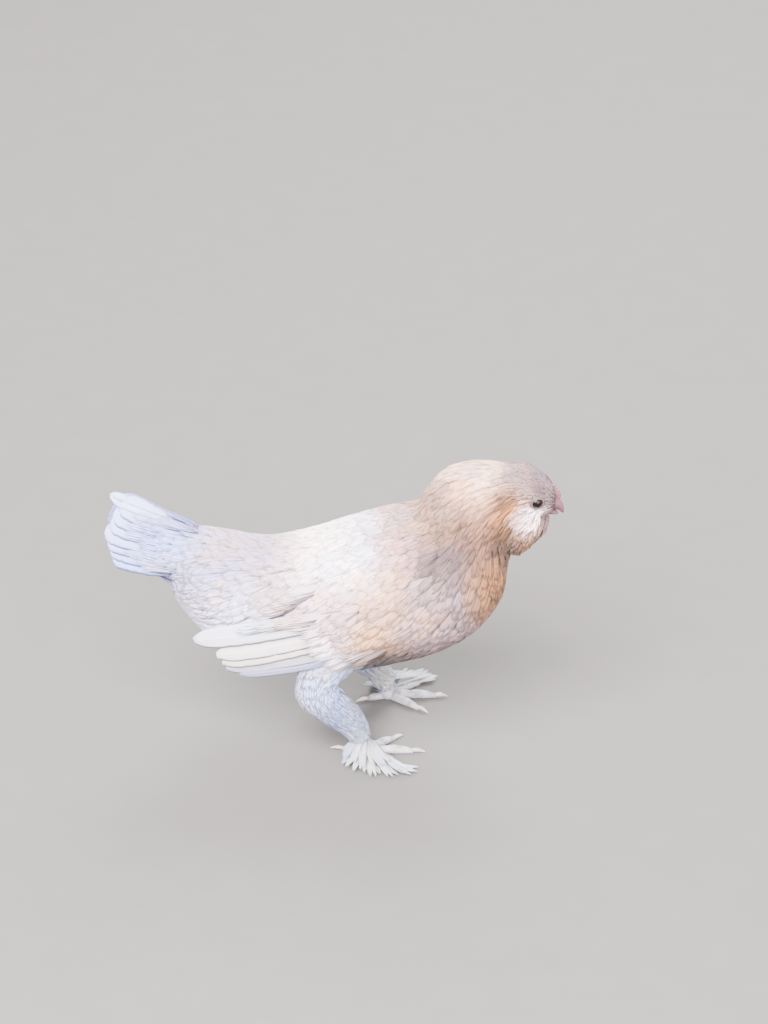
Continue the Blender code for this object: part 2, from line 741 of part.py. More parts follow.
def build_tail():
    """The tail: its core, the fan of flight feathers on both sides and their coverts."""
    rings = spine_rings(TAIL_STATIONS, CORE_RINGS)
    tail = loft("tail", rings, LIMB_SIDES)
    blades = []
    for side, sign in SIDE_SIGN.items():
        place = tail_place(sign)
        draw = random.Random(41 + int(sign))
        for share in shares(TAIL_FEATHERS):
            root = between(TAIL_ROOTS, share) * CM
            tip_x = TAIL_TIP_X + TAIL_ROUND * (share - TAIL_LONGEST) ** 2
            tip_x += draw.uniform(-TAIL_VARY, TAIL_VARY)
            tip = (tip_x * CM, between(TAIL_TIP_Z, share) * CM)
            blades.append(
                blade(place, root, tip, TAIL_HALF_WIDTH * CM, FLIGHT_OUTLINE, (0, 0), TAIL_TILT * MM)
            )
        for i, share in enumerate(shares(TAIL_COVERTS)):
            root = between(TAIL_COVERT_ROOTS, share) * CM
            tip = between(TAIL_COVERT_TIPS, share) * CM
            lifts = [(lift + STAGGER * (i % 2)) * MM for lift in TAIL_COVERT_LIFTS]
            half_width = TAIL_COVERT_HALF_WIDTH * CM
            blades.append(blade(place, root, tip, half_width, COVERT_OUTLINE, lifts))
    join(tail, blades)
    cut(tail, torso_tool())
    return tail


def wing_place(sign):
    """The sheet beside the body that the feathers of a folded wing lie on."""
    rows = smooth_rows(SHEET_STATIONS, SHEET_ROWS) * CM

    def place(x, z, lift):
        centre, half_up, half_side = (np.interp(x, rows[:, 0], rows[:, i]) for i in (1, 2, 3))
        rise = min(max((z - centre) / half_up, -SHEET_LIMIT), SHEET_LIMIT)
        y = half_side * math.sqrt(1 - rise * rise)
        out = Vector((0, y / half_side**2, (z - centre) / half_up**2)).normalized()
        return Vector((x, sign * (y + out.y * lift), z + out.z * lift))

    return place


def build_wing(side):
    """One folded wing: its core, the shingled flight feathers and two rows of coverts."""
    sign = SIDE_SIGN[side]
    wing = loft(f"wing_{side}", side_rings(WING_STATIONS, WING_RINGS, sign), LIMB_SIDES)
    place = wing_place(sign)
    draw = random.Random(51)
    blades = []
    for share in shares(FLIGHTS):
        root = between(FLIGHT_ROOTS, share) * CM
        tip_x = FLIGHT_TIP_X + FLIGHT_STEP * share**FLIGHT_CURVE
        tip_x += draw.uniform(-FLIGHT_VARY, FLIGHT_VARY)
        tip = (tip_x * CM, between(FLIGHT_TIP_Z, share) * CM)
        width = between(FLIGHT_HALF_WIDTH, share) * CM
        lifts = (FLIGHT_LIFT * MM, FLIGHT_LIFT * MM)
        tilt, bow = FLIGHT_TILT * MM, FLIGHT_BOW * MM
        blades.append(blade(place, root, tip, width, FLIGHT_OUTLINE, lifts, tilt, bow))
    for top_root, low_root, top_tip, low_tip, count, lifts, width in WING_COVERTS:
        for share in shares(count):
            root = between((top_root, low_root), share) * CM
            tip = between((top_tip, low_tip), share) * CM
            tip[0] += draw.uniform(-COVERT_VARY, COVERT_VARY) * MM
            raised = [lift * MM for lift in lifts]
            tilt = COVERT_TILT * MM
            blades.append(blade(place, root, tip, width * CM, COVERT_OUTLINE, raised, tilt))
    join(wing, blades)
    cut(wing, torso_tool(), neck_tool(HACKLE_REACH * MM))
    return wing


def leg_stations(stations, side):
    """The stations of a leg's form, moved to that side's step."""
    return [(x + STEP[side], *rest) for x, *rest in stations]


def leg_rings(side, stations, grow=0.0):
    """Sections along one leg."""
    rows = leg_stations(stations, side)
    return spine_rings(rows, CORE_RINGS, grow, SIDE_SIGN[side] * LEG_Y * CM)


def leg_form(name, side, stations, grow=0.0):
    """A loft along one leg."""
    return loft(name, leg_rings(side, stations, grow), LIMB_SIDES)


def leg_fringe(side, stations, tiers, radius, angles, half_width, lifts, seed):
    """Feathers along a leg, from its front round its outer side to the rear."""
    place = around(leg_rings(side, stations), radius * CM)
    turned = [SIDE_SIGN[side] * angle for angle in angles]
    return fringe(place, tiers, radius, turned, half_width, lifts, HACKLE_OUTLINE, seed)


def build_thigh(side):
    """The thigh and the long stiff feathers of its hock, cut clear of the torso."""
    thigh = leg_form(f"thigh_{side}", side, THIGH_STATIONS)
    join(
        thigh,
        leg_fringe(
            side, THIGH_STATIONS, HOCK_TIERS, HOCK_R, HOCK_ROUND, HOCK_HALF_WIDTH, HOCK_LIFTS, 61
        ),
    )
    cut(thigh, torso_tool())
    return thigh


def build_shank(side):
    """The shank between hock and foot, with its feathers."""
    shank = leg_form(f"shank_{side}", side, SHANK_STATIONS)
    join(
        shank,
        leg_fringe(
            side, SHANK_STATIONS, SHANK_TIERS, SHANK_R, SHANK_ROUND, SHANK_HALF_WIDTH, SHANK_LIFTS, 71
        ),
    )
    cut(shank, leg_form("thigh_tool", side, THIGH_STATIONS, GAP), floor_tool(FEATHER_CLEAR))
    return shank


def floor_tool(top=0.0):
    """A block below the floor, which flattens the soles."""
    bm = bmesh.new()
    bmesh.ops.create_cube(bm, size=1, matrix=Matrix.Translation((0, 0, top - 0.5)))
    return new_object("floor_tool", bm)


def toe_line(side, toe):
    """Start, heading and tip of a toe's line."""
    heading, length, _ = TOES[toe]
    sign = SIDE_SIGN[side]
    angle = math.radians(-sign * heading)
    ahead = Vector((math.cos(angle), math.sin(angle), 0))
    start = Vector((FOOT_X + STEP[side], sign * LEG_Y, 0)) * CM
    return start, ahead, start + ahead * length * CM


def toe_rings(side, toe):
    """Sections of one toe, which lies along the floor and sinks a little into it."""
    _, length, radius = TOES[toe]
    start, ahead, _ = toe_line(side, toe)
    across = Vector((-ahead.y, ahead.x, 0))
    rings = []
    for t, share, lift in TOE_SECTIONS:
        size = radius * share * CM
        centre = start + ahead * length * t * CM + Vector((0, 0, size * lift))
        rings.append(ring(centre, ahead, size, size, across))
    return rings


def foot_feathers(side):
    """Feathers that fan out from the foot just above the floor."""
    start, ahead, _ = toe_line(side, "outer")
    length = TOES["outer"][1] * CM
    sign = SIDE_SIGN[side]

    def place(x, y, lift):
        return Vector((x, y, FOOT_FEATHER_Z * CM + lift))

    blades = []
    for i, (heading, share, reach) in enumerate(FOOT_FEATHERS):
        root = start + ahead * length * share
        angle = math.radians(heading)
        tip = root + Vector((math.cos(angle), sign * math.sin(angle), 0)) * reach * CM
        lifts = [(lift + STAGGER * (i % 2)) * MM for lift in FOOT_LIFTS]
        blades.append(
            blade(place, root.xy, tip.xy, FOOT_HALF_WIDTH * CM, HACKLE_OUTLINE, lifts)
        )
    return blades


def build_foot(side):
    """The foot with its four toes on small flats and the feathers of its outer side."""
    start, _, _ = toe_line(side, "middle")
    sole = Matrix.Translation(start + Vector((0, 0, SOLE_Z * CM)))
    foot = ellipsoid(sole, (SOLE_R, SOLE_R, SOLE_R), 10, 6)
    foot.name = f"foot_{side}"
    pieces = [loft(f"toe_{toe}", toe_rings(side, toe), TOE_SIDES) for toe in TOES]
    join(foot, pieces + foot_feathers(side))
    cut(foot, floor_tool(), leg_form("shank_tool", side, SHANK_STATIONS, GAP))
    return foot


def build_claw(side, toe):
    """One claw at the tip of its toe."""
    _, _, radius = TOES[toe]
    _, ahead, tip = toe_line(side, toe)
    across = Vector((-ahead.y, ahead.x, 0))
    size = radius * CLAW_R * CM
    rings = []
    for t, share, lift in CLAW_SECTIONS:
        centre = tip + ahead * (GAP + t * CLAW_LENGTH * CM) + Vector((0, 0, size * lift))
        heading = ahead - Vector((0, 0, CLAW_DROOP * t))
        rings.append(ring(centre, heading, size * share, size * share, across))
    return loft(f"claw_{side}_{toe}", rings, CLAW_SIDES)


def paint(obj, name, colour, roughness):
    """Gives the object its own material."""
    material = bpy.data.materials.new(name)
    material.use_nodes = True
    shader = material.node_tree.nodes["Principled BSDF"]
    shader.inputs["Base Color"].default_value = (*colour, 1)
    shader.inputs["Roughness"].default_value = roughness
    shader.inputs["Metallic"].default_value = 0.0
    obj.data.materials.clear()
    obj.data.materials.append(material)
    obj.data.shade_smooth()
    obj.data.set_sharp_from_angle(angle=math.radians(50))


def stand_on_centre(objects):
    """Moves the whole bird so that the middle of its floor box is the origin."""
    low = Vector((1e9, 1e9, 0))
    high = Vector((-1e9, -1e9, 0))
    for obj in objects:
        for vertex in obj.data.vertices:
            low.x, low.y = min(low.x, vertex.co.x), min(low.y, vertex.co.y)
            high.x, high.y = max(high.x, vertex.co.x), max(high.y, vertex.co.y)
    shift = Matrix.Translation(-(low + high) / 2)
    for obj in objects:
        obj.data.transform(shift)


CREAM = (0.78, 0.68, 0.58)
WHITE = (0.82, 0.83, 0.88)
PINK = (0.62, 0.36, 0.36)
HORN = (0.56, 0.42, 0.38)
DARK = (0.02, 0.015, 0.015)
SLATE = (0.42, 0.42, 0.46)


def build_bird():
    """Builds every part of the bird and gives it its colour."""
    for obj in list(bpy.data.objects):
        bpy.data.objects.remove(obj)
    upper, lower = build_beak()
    painted = [
        (build_torso(), CREAM, 0.8),
        (build_neck(), CREAM, 0.8),
        (build_head(), CREAM, 0.8),
        (upper, HORN, 0.45),
        (lower, HORN, 0.45),
        (build_comb(), PINK, 0.6),
        (build_beard(), CREAM, 0.8),
        (build_tail(), WHITE, 0.75),
    ]
    for side in SIDE_SIGN:
        painted += [
            (eye_ball(f"eye_{side}", side), DARK, 0.15),
            (build_muff(side), CREAM, 0.8),
            (build_wing(side), WHITE, 0.75),
            (build_thigh(side), WHITE, 0.8),
            (build_shank(side), SLATE, 0.6),
            (build_foot(side), SLATE, 0.6),
        ]
        painted += [(build_claw(side, toe), HORN, 0.4) for toe in TOES]
    for obj, colour, roughness in painted:
        paint(obj, f"{obj.name}_finish", colour, roughness)
    stand_on_centre([obj for obj, _, _ in painted])


build_bird()
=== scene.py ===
"""Looks of a barbu d'Uccle bantam pullet: skin, plumage, eyes, bill, comb, toes and claws.

The bird faces +X with its right side towards -Y and stands on Z = 0. Body sizes are held in
centimetres in the bird's own frame and moved to the model's frame by the place of its eye.
"""

import logging
import math
from collections.abc import Callable, Sequence
from dataclasses import dataclass, field
from enum import Enum

import bmesh
import bpy
import numpy as np
from mathutils import Matrix, Vector, noise
from mathutils.bvhtree import BVHTree
from mathutils.kdtree import KDTree


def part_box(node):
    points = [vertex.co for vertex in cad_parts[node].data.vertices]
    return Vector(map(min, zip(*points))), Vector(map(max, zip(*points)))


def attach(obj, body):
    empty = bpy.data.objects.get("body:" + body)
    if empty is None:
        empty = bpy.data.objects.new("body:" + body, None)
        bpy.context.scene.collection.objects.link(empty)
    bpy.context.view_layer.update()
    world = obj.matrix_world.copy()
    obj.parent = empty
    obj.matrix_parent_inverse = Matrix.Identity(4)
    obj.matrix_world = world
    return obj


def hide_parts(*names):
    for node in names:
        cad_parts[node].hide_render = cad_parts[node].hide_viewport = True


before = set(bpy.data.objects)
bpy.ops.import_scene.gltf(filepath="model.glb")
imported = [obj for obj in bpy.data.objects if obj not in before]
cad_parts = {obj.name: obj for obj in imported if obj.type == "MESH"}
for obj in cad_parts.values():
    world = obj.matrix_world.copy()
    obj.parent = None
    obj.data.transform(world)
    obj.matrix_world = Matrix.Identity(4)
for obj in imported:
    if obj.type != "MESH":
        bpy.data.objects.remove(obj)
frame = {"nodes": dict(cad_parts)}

log = logging.getLogger("bantam")

CM = 0.01
MM = 0.001
BAKE_PATCH = 0.003
Rows = Sequence[Sequence[float]]
Colour = tuple[float, float, float]


class Side(Enum):
    """The two sides of the bird, as the sign of Y."""

    RIGHT = -1
    LEFT = 1

    @property
    def word(self) -> str:
        """The side's name in the model's nodes."""
        return self.name.lower()


STEP = {Side.RIGHT: 0.0, Side.LEFT: 1.5}


# Body frame

@dataclass(frozen=True)
class BodyFrame:
    """Turns centimetres in the bird's own frame into metres in the model's frame."""

    eye: tuple[float, float, float] = (10.85, 1.16, 15.72)

    @property
    def origin(self) -> np.ndarray:
        """Where the bird's own origin lies in the model."""
        low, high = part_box("eye_right")
        middle = np.array((low + high) / 2)
        return middle - np.array([self.eye[0], -self.eye[1], self.eye[2]]) * CM

    def place(self, points: np.ndarray | Sequence[float]) -> np.ndarray:
        """Moves points in centimetres to their place in the model.

        Args:
            points: One point or rows of points.

        Returns:
            The same points in metres.
        """
        return np.asarray(points, float) * CM + self.origin

    def read(self, points: np.ndarray) -> np.ndarray:
        """Turns points of the model back into the bird's centimetres."""
        return (np.asarray(points, float) - self.origin) / CM


BODY = BodyFrame()


def smooth_rows(stations: Rows, count: int) -> np.ndarray:
    """Reads rows from a smooth curve through the rows of a table.

    Args:
        stations: Rows that start with a place in space.
        count: How many rows are read, evenly spaced.

    Returns:
        The rows as an array.
    """
    table = np.array(stations, float)
    steps = np.linalg.norm(np.diff(table[:, :3], axis=0), axis=1)
    knots = np.concatenate([[0.0], np.cumsum(steps)])
    slopes = np.gradient(table, knots, axis=0)
    places = np.linspace(0.0, knots[-1], count)
    spans = np.clip(np.searchsorted(knots, places) - 1, 0, len(knots) - 2)
    length = knots[spans + 1] - knots[spans]
    t = ((places - knots[spans]) / length)[:, None]
    start, end = table[spans], table[spans + 1]
    leave, arrive = slopes[spans] * length[:, None], slopes[spans + 1] * length[:, None]
    return (
        (2 * t**3 - 3 * t**2 + 1) * start
        + (t**3 - 2 * t**2 + t) * leave
        + (-2 * t**3 + 3 * t**2) * end
        + (t**3 - t**2) * arrive
    )


def unit(rows: np.ndarray) -> np.ndarray:
    """Vectors of length one."""
    length = np.linalg.norm(rows, axis=-1, keepdims=True)
    return rows / np.maximum(length, 1e-12)


def smooth_step(low: float, high: float, values: np.ndarray) -> np.ndarray:
    """A soft step from 0 at low to 1 at high."""
    t = np.clip((values - low) / (high - low), 0.0, 1.0)
    return t * t * (3 - 2 * t)


# Mesh makers

def new_object(name: str, bm: bmesh.types.BMesh, smooth: bool = True) -> bpy.types.Object:
    """Turns a bmesh into an object of the scene.

    Args:
        name: The object's name.
        bm: The shape, which is freed.
        smooth: Whether its faces are shaded smooth.

    Returns:
        The object.
    """
    mesh = bpy.data.meshes.new(name)
    bm.to_mesh(mesh)
    bm.free()
    mesh.polygons.foreach_set("use_smooth", [smooth] * len(mesh.polygons))
    obj = bpy.data.objects.new(name, mesh)
    bpy.context.scene.collection.objects.link(obj)
    return obj


def apply_modifiers(obj: bpy.types.Object) -> None:
    """Replaces the mesh by the evaluated one and clears the modifiers.

    Args:
        obj: The object.
    """
    graph = bpy.context.evaluated_depsgraph_get()
    mesh = bpy.data.meshes.new_from_object(obj.evaluated_get(graph))
    obj.modifiers.clear()
    old = obj.data
    obj.data = mesh
    bpy.data.meshes.remove(old)


def unite(obj: bpy.types.Object, voxel: float, rounds: int) -> None:
    """Makes one smooth closed mesh of the forms in an object.

    Args:
        obj: The object.
        voxel: How fine the mesh is.
        rounds: How often it is smoothed.
    """
    remesh = obj.modifiers.new("Unite", "REMESH")
    remesh.mode = "VOXEL"
    remesh.voxel_size = voxel
    soften = obj.modifiers.new("Soften", "SMOOTH")
    soften.factor = 0.5
    soften.iterations = rounds
    apply_modifiers(obj)
    obj.data.polygons.foreach_set("use_smooth", [True] * len(obj.data.polygons))


def read_points(mesh: bpy.types.Mesh) -> np.ndarray:
    """The vertices of a mesh as rows."""
    points = np.zeros(len(mesh.vertices) * 3)
    mesh.vertices.foreach_get("co", points)
    return points.reshape(-1, 3)


def paint(mesh: bpy.types.Mesh, colours: np.ndarray) -> None:
    """Gives each vertex of a mesh its plumage colour.

    Args:
        mesh: The mesh.
        colours: Rows of linear red, green and blue.
    """
    rgba = np.ones((len(colours), 4), np.float32)
    rgba[:, :3] = colours
    mesh.attributes.new("Plumage", "FLOAT_COLOR", "POINT").data.foreach_set("color", rgba.ravel())


def look_at(obj: bpy.types.Object, target: Vector) -> None:
    """Turns a camera or a light towards a point."""
    obj.rotation_mode = "QUATERNION"
    obj.rotation_quaternion = (target - obj.location).to_track_quat("-Z", "Y")


def join_loops(bm: bmesh.types.BMesh, loops: list[list[bmesh.types.BMVert]]) -> None:
    """Closes a tube over loops that have as many points each.

    Args:
        bm: The bmesh that holds them.
        loops: The loops in their order along the tube.
    """
    for first, second in zip(loops, loops[1:]):
        for i in range(len(first)):
            j = (i + 1) % len(first)
            bm.faces.new((first[i], first[j], second[j], second[i]))
    bm.faces.new(loops[0][::-1])
    bm.faces.new(loops[-1])


@dataclass
class Form:
    """A round form of the body, lofted through elliptical sections along its spine.

    A station is x, y and z of the middle, half height and half width, in centimetres.
    """

    stations: Rows
    rings: int = 24
    upright: bool = False

    def sections(self, grow: float = 0.0) -> tuple[np.ndarray, ...]:
        """Works out the sections.

        Args:
            grow: How much larger they are all round, in centimetres.

        Returns:
            Centres, headings, sides, ups, half heights and half widths, in centimetres.
        """
        rows = smooth_rows(self.stations, self.rings)
        centres = rows[:, :3].copy()
        along = unit(np.gradient(centres, axis=0))
        if self.upright:
            along = np.tile([1.0, 0.0, 0.0], (self.rings, 1))
        side = np.tile([0.0, 1.0, 0.0], (self.rings, 1))
        side = unit(side - along * np.sum(along * side, axis=1, keepdims=True))
        up = np.cross(along, side)
        centres[0] -= along[0] * grow
        centres[-1] += along[-1] * grow
        return centres, along, side, up, rows[:, 3] + grow, rows[:, 4] + grow

    def add_to(self, bm: bmesh.types.BMesh, sides: int, grow: float = 0.0) -> None:
        """Adds the closed loft to a bmesh.

        Args:
            bm: The bmesh that takes it.
            sides: Points round a section.
            grow: How much larger it is all round, in centimetres.
        """
        centres, along, side, up, half_up, half_side = self.sections(grow)
        loops = []
        for i in range(self.rings):
            turn = Matrix((side[i], up[i], along[i])).transposed().to_4x4()
            scale = Matrix.Diagonal((half_side[i] * CM, half_up[i] * CM, 1, 1))
            matrix = Matrix.Translation(BODY.place(centres[i])) @ turn @ scale
            made = bmesh.ops.create_circle(bm, segments=sides, radius=1, matrix=matrix)
            loops.append(made["verts"])
        join_loops(bm, loops)

    def nearness(self, points: np.ndarray) -> tuple[np.ndarray, np.ndarray, np.ndarray]:
        """Finds how far points lie from the spine.

        Args:
            points: Rows of points in centimetres.

        Returns:
            The distance as a share of the form's radius, the heading of the spine there, and the
            share of the spine's length.
        """
        centres, along, side, up, half_up, half_side = self.sections()
        apart = points[:, None, :] - centres[None, :, :]
        rise = np.einsum("nkd,kd->nk", apart, up) / half_up
        aside = np.einsum("nkd,kd->nk", apart, side) / half_side
        ahead = np.einsum("nkd,kd->nk", apart, along) / np.minimum(half_up, half_side).clip(0.3)
        reach = np.sqrt(rise**2 + aside**2 + ahead**2)
        nearest = np.argmin(reach, axis=1)
        true_heading = unit(np.gradient(smooth_rows(self.stations, self.rings)[:, :3], axis=0))
        rows = np.arange(len(points))
        return reach[rows, nearest], true_heading[nearest], nearest / (self.rings - 1)


# Body forms

TORSO = Form(
    (
        (-10.4, 0, 11.5, 0.6, 0.5),
        (-10.1, 0, 11.15, 1.85, 1.3),
        (-9.2, 0, 10.65, 2.8, 2.35),
        (-7.4, 0, 9.65, 3.55, 3.45),
        (-4.8, 0, 8.75, 3.75, 4.3),
        (-2.0, 0, 8.7, 4.2, 4.9),
        (0.5, 0, 9.2, 4.6, 5.0),
        (3.0, 0, 9.8, 4.7, 5.0),
        (5.5, 0, 10.35, 4.55, 4.6),
        (7.5, 0, 10.95, 3.85, 3.9),
        (8.7, 0, 11.45, 2.75, 2.8),
        (9.3, 0, 11.75, 1.45, 1.5),
        (9.5, 0, 11.9, 0.5, 0.5),
    ),
    rings=36,
    upright=True,
)
NECK = Form(
    (
        (3.8, 0, 11.8, 1.3, 1.7),
        (4.8, 0, 12.75, 1.8, 2.35),
        (5.95, 0, 13.6, 2.3, 2.75),
        (7.2, 0, 14.6, 2.8, 2.6),
        (8.5, 0, 15.25, 2.45, 2.2),
        (9.3, 0, 15.5, 2.0, 1.85),
    ),
    rings=16,
)
HEAD = Form(
    (
        (8.5, 0, 15.2, 0.8, 0.8),
        (8.8, 0, 15.35, 1.3, 1.2),
        (9.5, 0, 15.7, 1.78, 1.55),
        (10.3, 0, 15.85, 1.72, 1.54),
        (11.0, 0, 15.72, 1.45, 1.36),
        (11.6, 0, 15.5, 1.12, 1.02),
        (12.0, 0, 15.28, 0.74, 0.66),
        (12.15, 0, 15.15, 0.4, 0.34),
    ),
    rings=20,
    upright=True,
)
BEARD = Form(
    (
        (11.5, 0, 14.35, 0.4, 0.7),
        (11.0, 0, 14.0, 0.7, 1.0),
        (10.45, 0, 13.35, 0.75, 1.12),
        (10.0, 0, 12.7, 0.6, 0.9),
        (9.7, 0, 12.1, 0.3, 0.5),
    ),
    rings=12,
)
TAIL_CORE = Form(
    (
        (-9.0, 0, 11.75, 1.65, 1.15),
        (-10.2, 0, 12.3, 1.75, 1.15),
        (-11.2, 0, 12.75, 1.6, 0.95),
        (-12.1, 0, 13.1, 1.1, 0.55),
    ),
    rings=12,
)

NAPE = Form(
    (
        (6.9, 0, 15.0, 2.5, 2.2),
        (8.2, 0, 15.55, 2.15, 1.85),
        (9.4, 0, 15.85, 1.75, 1.5),
        (10.2, 0, 15.9, 1.5, 1.3),
    ),
    rings=10,
)


def muff(side: Side) -> Form:
    """The core of the muff on one cheek."""
    y = side.value
    return Form(
        (
            (10.9, y * 1.2, 15.0, 0.4, 0.3),
            (10.45, y * 1.3, 14.6, 0.8, 0.55),
            (10.1, y * 1.35, 13.95, 0.9, 0.62),
            (9.85, y * 1.3, 13.2, 0.75, 0.55),
            (9.7, y * 1.25, 12.5, 0.4, 0.3),
        ),
        rings=12,
    )


def wing_core(side: Side) -> Form:
    """The fleshy front of one folded wing."""
    y = side.value
    return Form(
        (
            (6.0, y * 3.7, 10.5, 0.7, 0.4),
            (4.8, y * 4.1, 10.3, 1.2, 0.5),
            (3.0, y * 4.55, 10.0, 1.6, 0.6),
            (1.2, y * 4.8, 9.7, 1.75, 0.6),
            (-1.0, y * 4.95, 9.2, 1.75, 0.5),
            (-2.3, y * 4.95, 8.9, 1.5, 0.35),
        ),
        rings=14,
    )


def thigh(side: Side) -> Form:
    """One thigh."""
    step, y = STEP[side], side.value * 3.1
    return Form(
        (
            (-0.1 + step, y, 7.5, 1.6, 0.9),
            (-0.9 + step, y, 6.6, 1.5, 1.0),
            (-1.55 + step, y, 5.8, 1.35, 1.0),
            (-1.9 + step, y, 5.1, 1.2, 0.9),
            (-2.0 + step, y, 4.5, 1.0, 0.75),
        ),
        rings=12,
    )


def shank(side: Side) -> Form:
    """One shank, from the hock to the foot."""
    step, y = STEP[side], side.value * 3.1
    return Form(
        (
            (-2.15 + step, y, 4.9, 1.0, 0.72),
            (-1.75 + step, y, 4.1, 1.1, 0.76),
            (-0.8 + step, y, 3.15, 1.0, 0.72),
            (0.15 + step, y, 2.2, 0.78, 0.62),
            (0.6 + step, y, 1.4, 0.56, 0.52),
            (0.75 + step, y, 0.8, 0.46, 0.44),
        ),
        rings=14,
    )


# Plumage regions

@dataclass
class Region:
    """A region of the coat: the form that it grows on and the feathers that it has.

    Sizes are in millimetres. `sweep` is added to the heading of the feathers.
    """

    form: Form
    heading: int
    sweep: Colour
    spacing: float
    length: float
    half_width: float
    rise: float
    inset: float
    unrest: float
    piece: str
    atlas: tuple[float, float, float, float]

    def flow(self, points: np.ndarray) -> tuple[np.ndarray, np.ndarray]:
        """Reads the lie of the feathers.

        Args:
            points: Rows of points in centimetres.

        Returns:
            The nearness to the form and the heading at each point.
        """
        near, heading, _ = self.form.nearness(points)
        return near, unit(self.heading * heading + np.array(self.sweep))


def body_regions() -> list[Region]:
    """All regions of the coat, from the largest to the smallest.

    Returns:
        The regions.
    """
    regions = [
        Region(TORSO, -1, (0, 0, -0.7), 3.2, 17.0, 4.0, 1.3, 0.24, 0.07, "coat_body",
               (0.02, 0.52, 0.96, 0.46)),
        Region(NECK, -1, (0, 0, -0.3), 2.3, 20.0, 2.6, 1.4, 0.06, 0.08, "coat_hackle",
               (0.02, 0.28, 0.44, 0.2)),
        Region(HEAD, -1, (0, 0, -0.1), 1.1, 6.0, 1.2, 0.8, 0.1, 0.1, "coat_head",
               (0.5, 0.28, 0.22, 0.2)),
        Region(BEARD, 1, (-0.1, 0, -0.1), 1.5, 9.5, 1.5, 2.2, 0.06, 0.12, "coat_beard",
               (0.74, 0.28, 0.08, 0.2)),
        Region(TAIL_CORE, 1, (0, 0, 0.0), 3.0, 22.0, 4.0, 1.5, 0.1, 0.06, "coat_rump",
               (0.02, 0.02, 0.18, 0.22)),
    ]
    for side, muff_left, low in ((Side.RIGHT, 0.84, 0.22), (Side.LEFT, 0.91, 0.6)):
        regions += [
            Region(muff(side), 1, (-0.2, 0, -0.1), 1.5, 10.0, 1.6, 1.6, 0.05, 0.1, "coat_beard",
                   (muff_left, 0.28, 0.06, 0.2)),
            Region(wing_core(side), 1, (0, 0, -0.6), 3.1, 17.0, 4.0, 1.3, 0.24, 0.07, "coat_wing",
                   (low, 0.02, 0.12, 0.22)),
            Region(thigh(side), 1, (0.2, 0, -0.3), 1.9, 18.0, 2.6, 2.8, 0.16, 0.1, "coat_legs",
                   (low + 0.13, 0.02, 0.1, 0.22)),
            Region(shank(side), 1, (0, 0.15 * side.value, 0), 1.7, 15.0, 2.3, 2.4, 0.04, 0.12,
                   "coat_legs", (low + 0.24, 0.02, 0.1, 0.22)),
        ]
    return regions


# Markings

@dataclass(frozen=True)
class Patch:
    """One soft patch of colour on the plumage: its middle and reach in centimetres."""

    name: str
    middle: tuple[float, float, float]
    reach: float
    srgb: tuple[int, int, int]


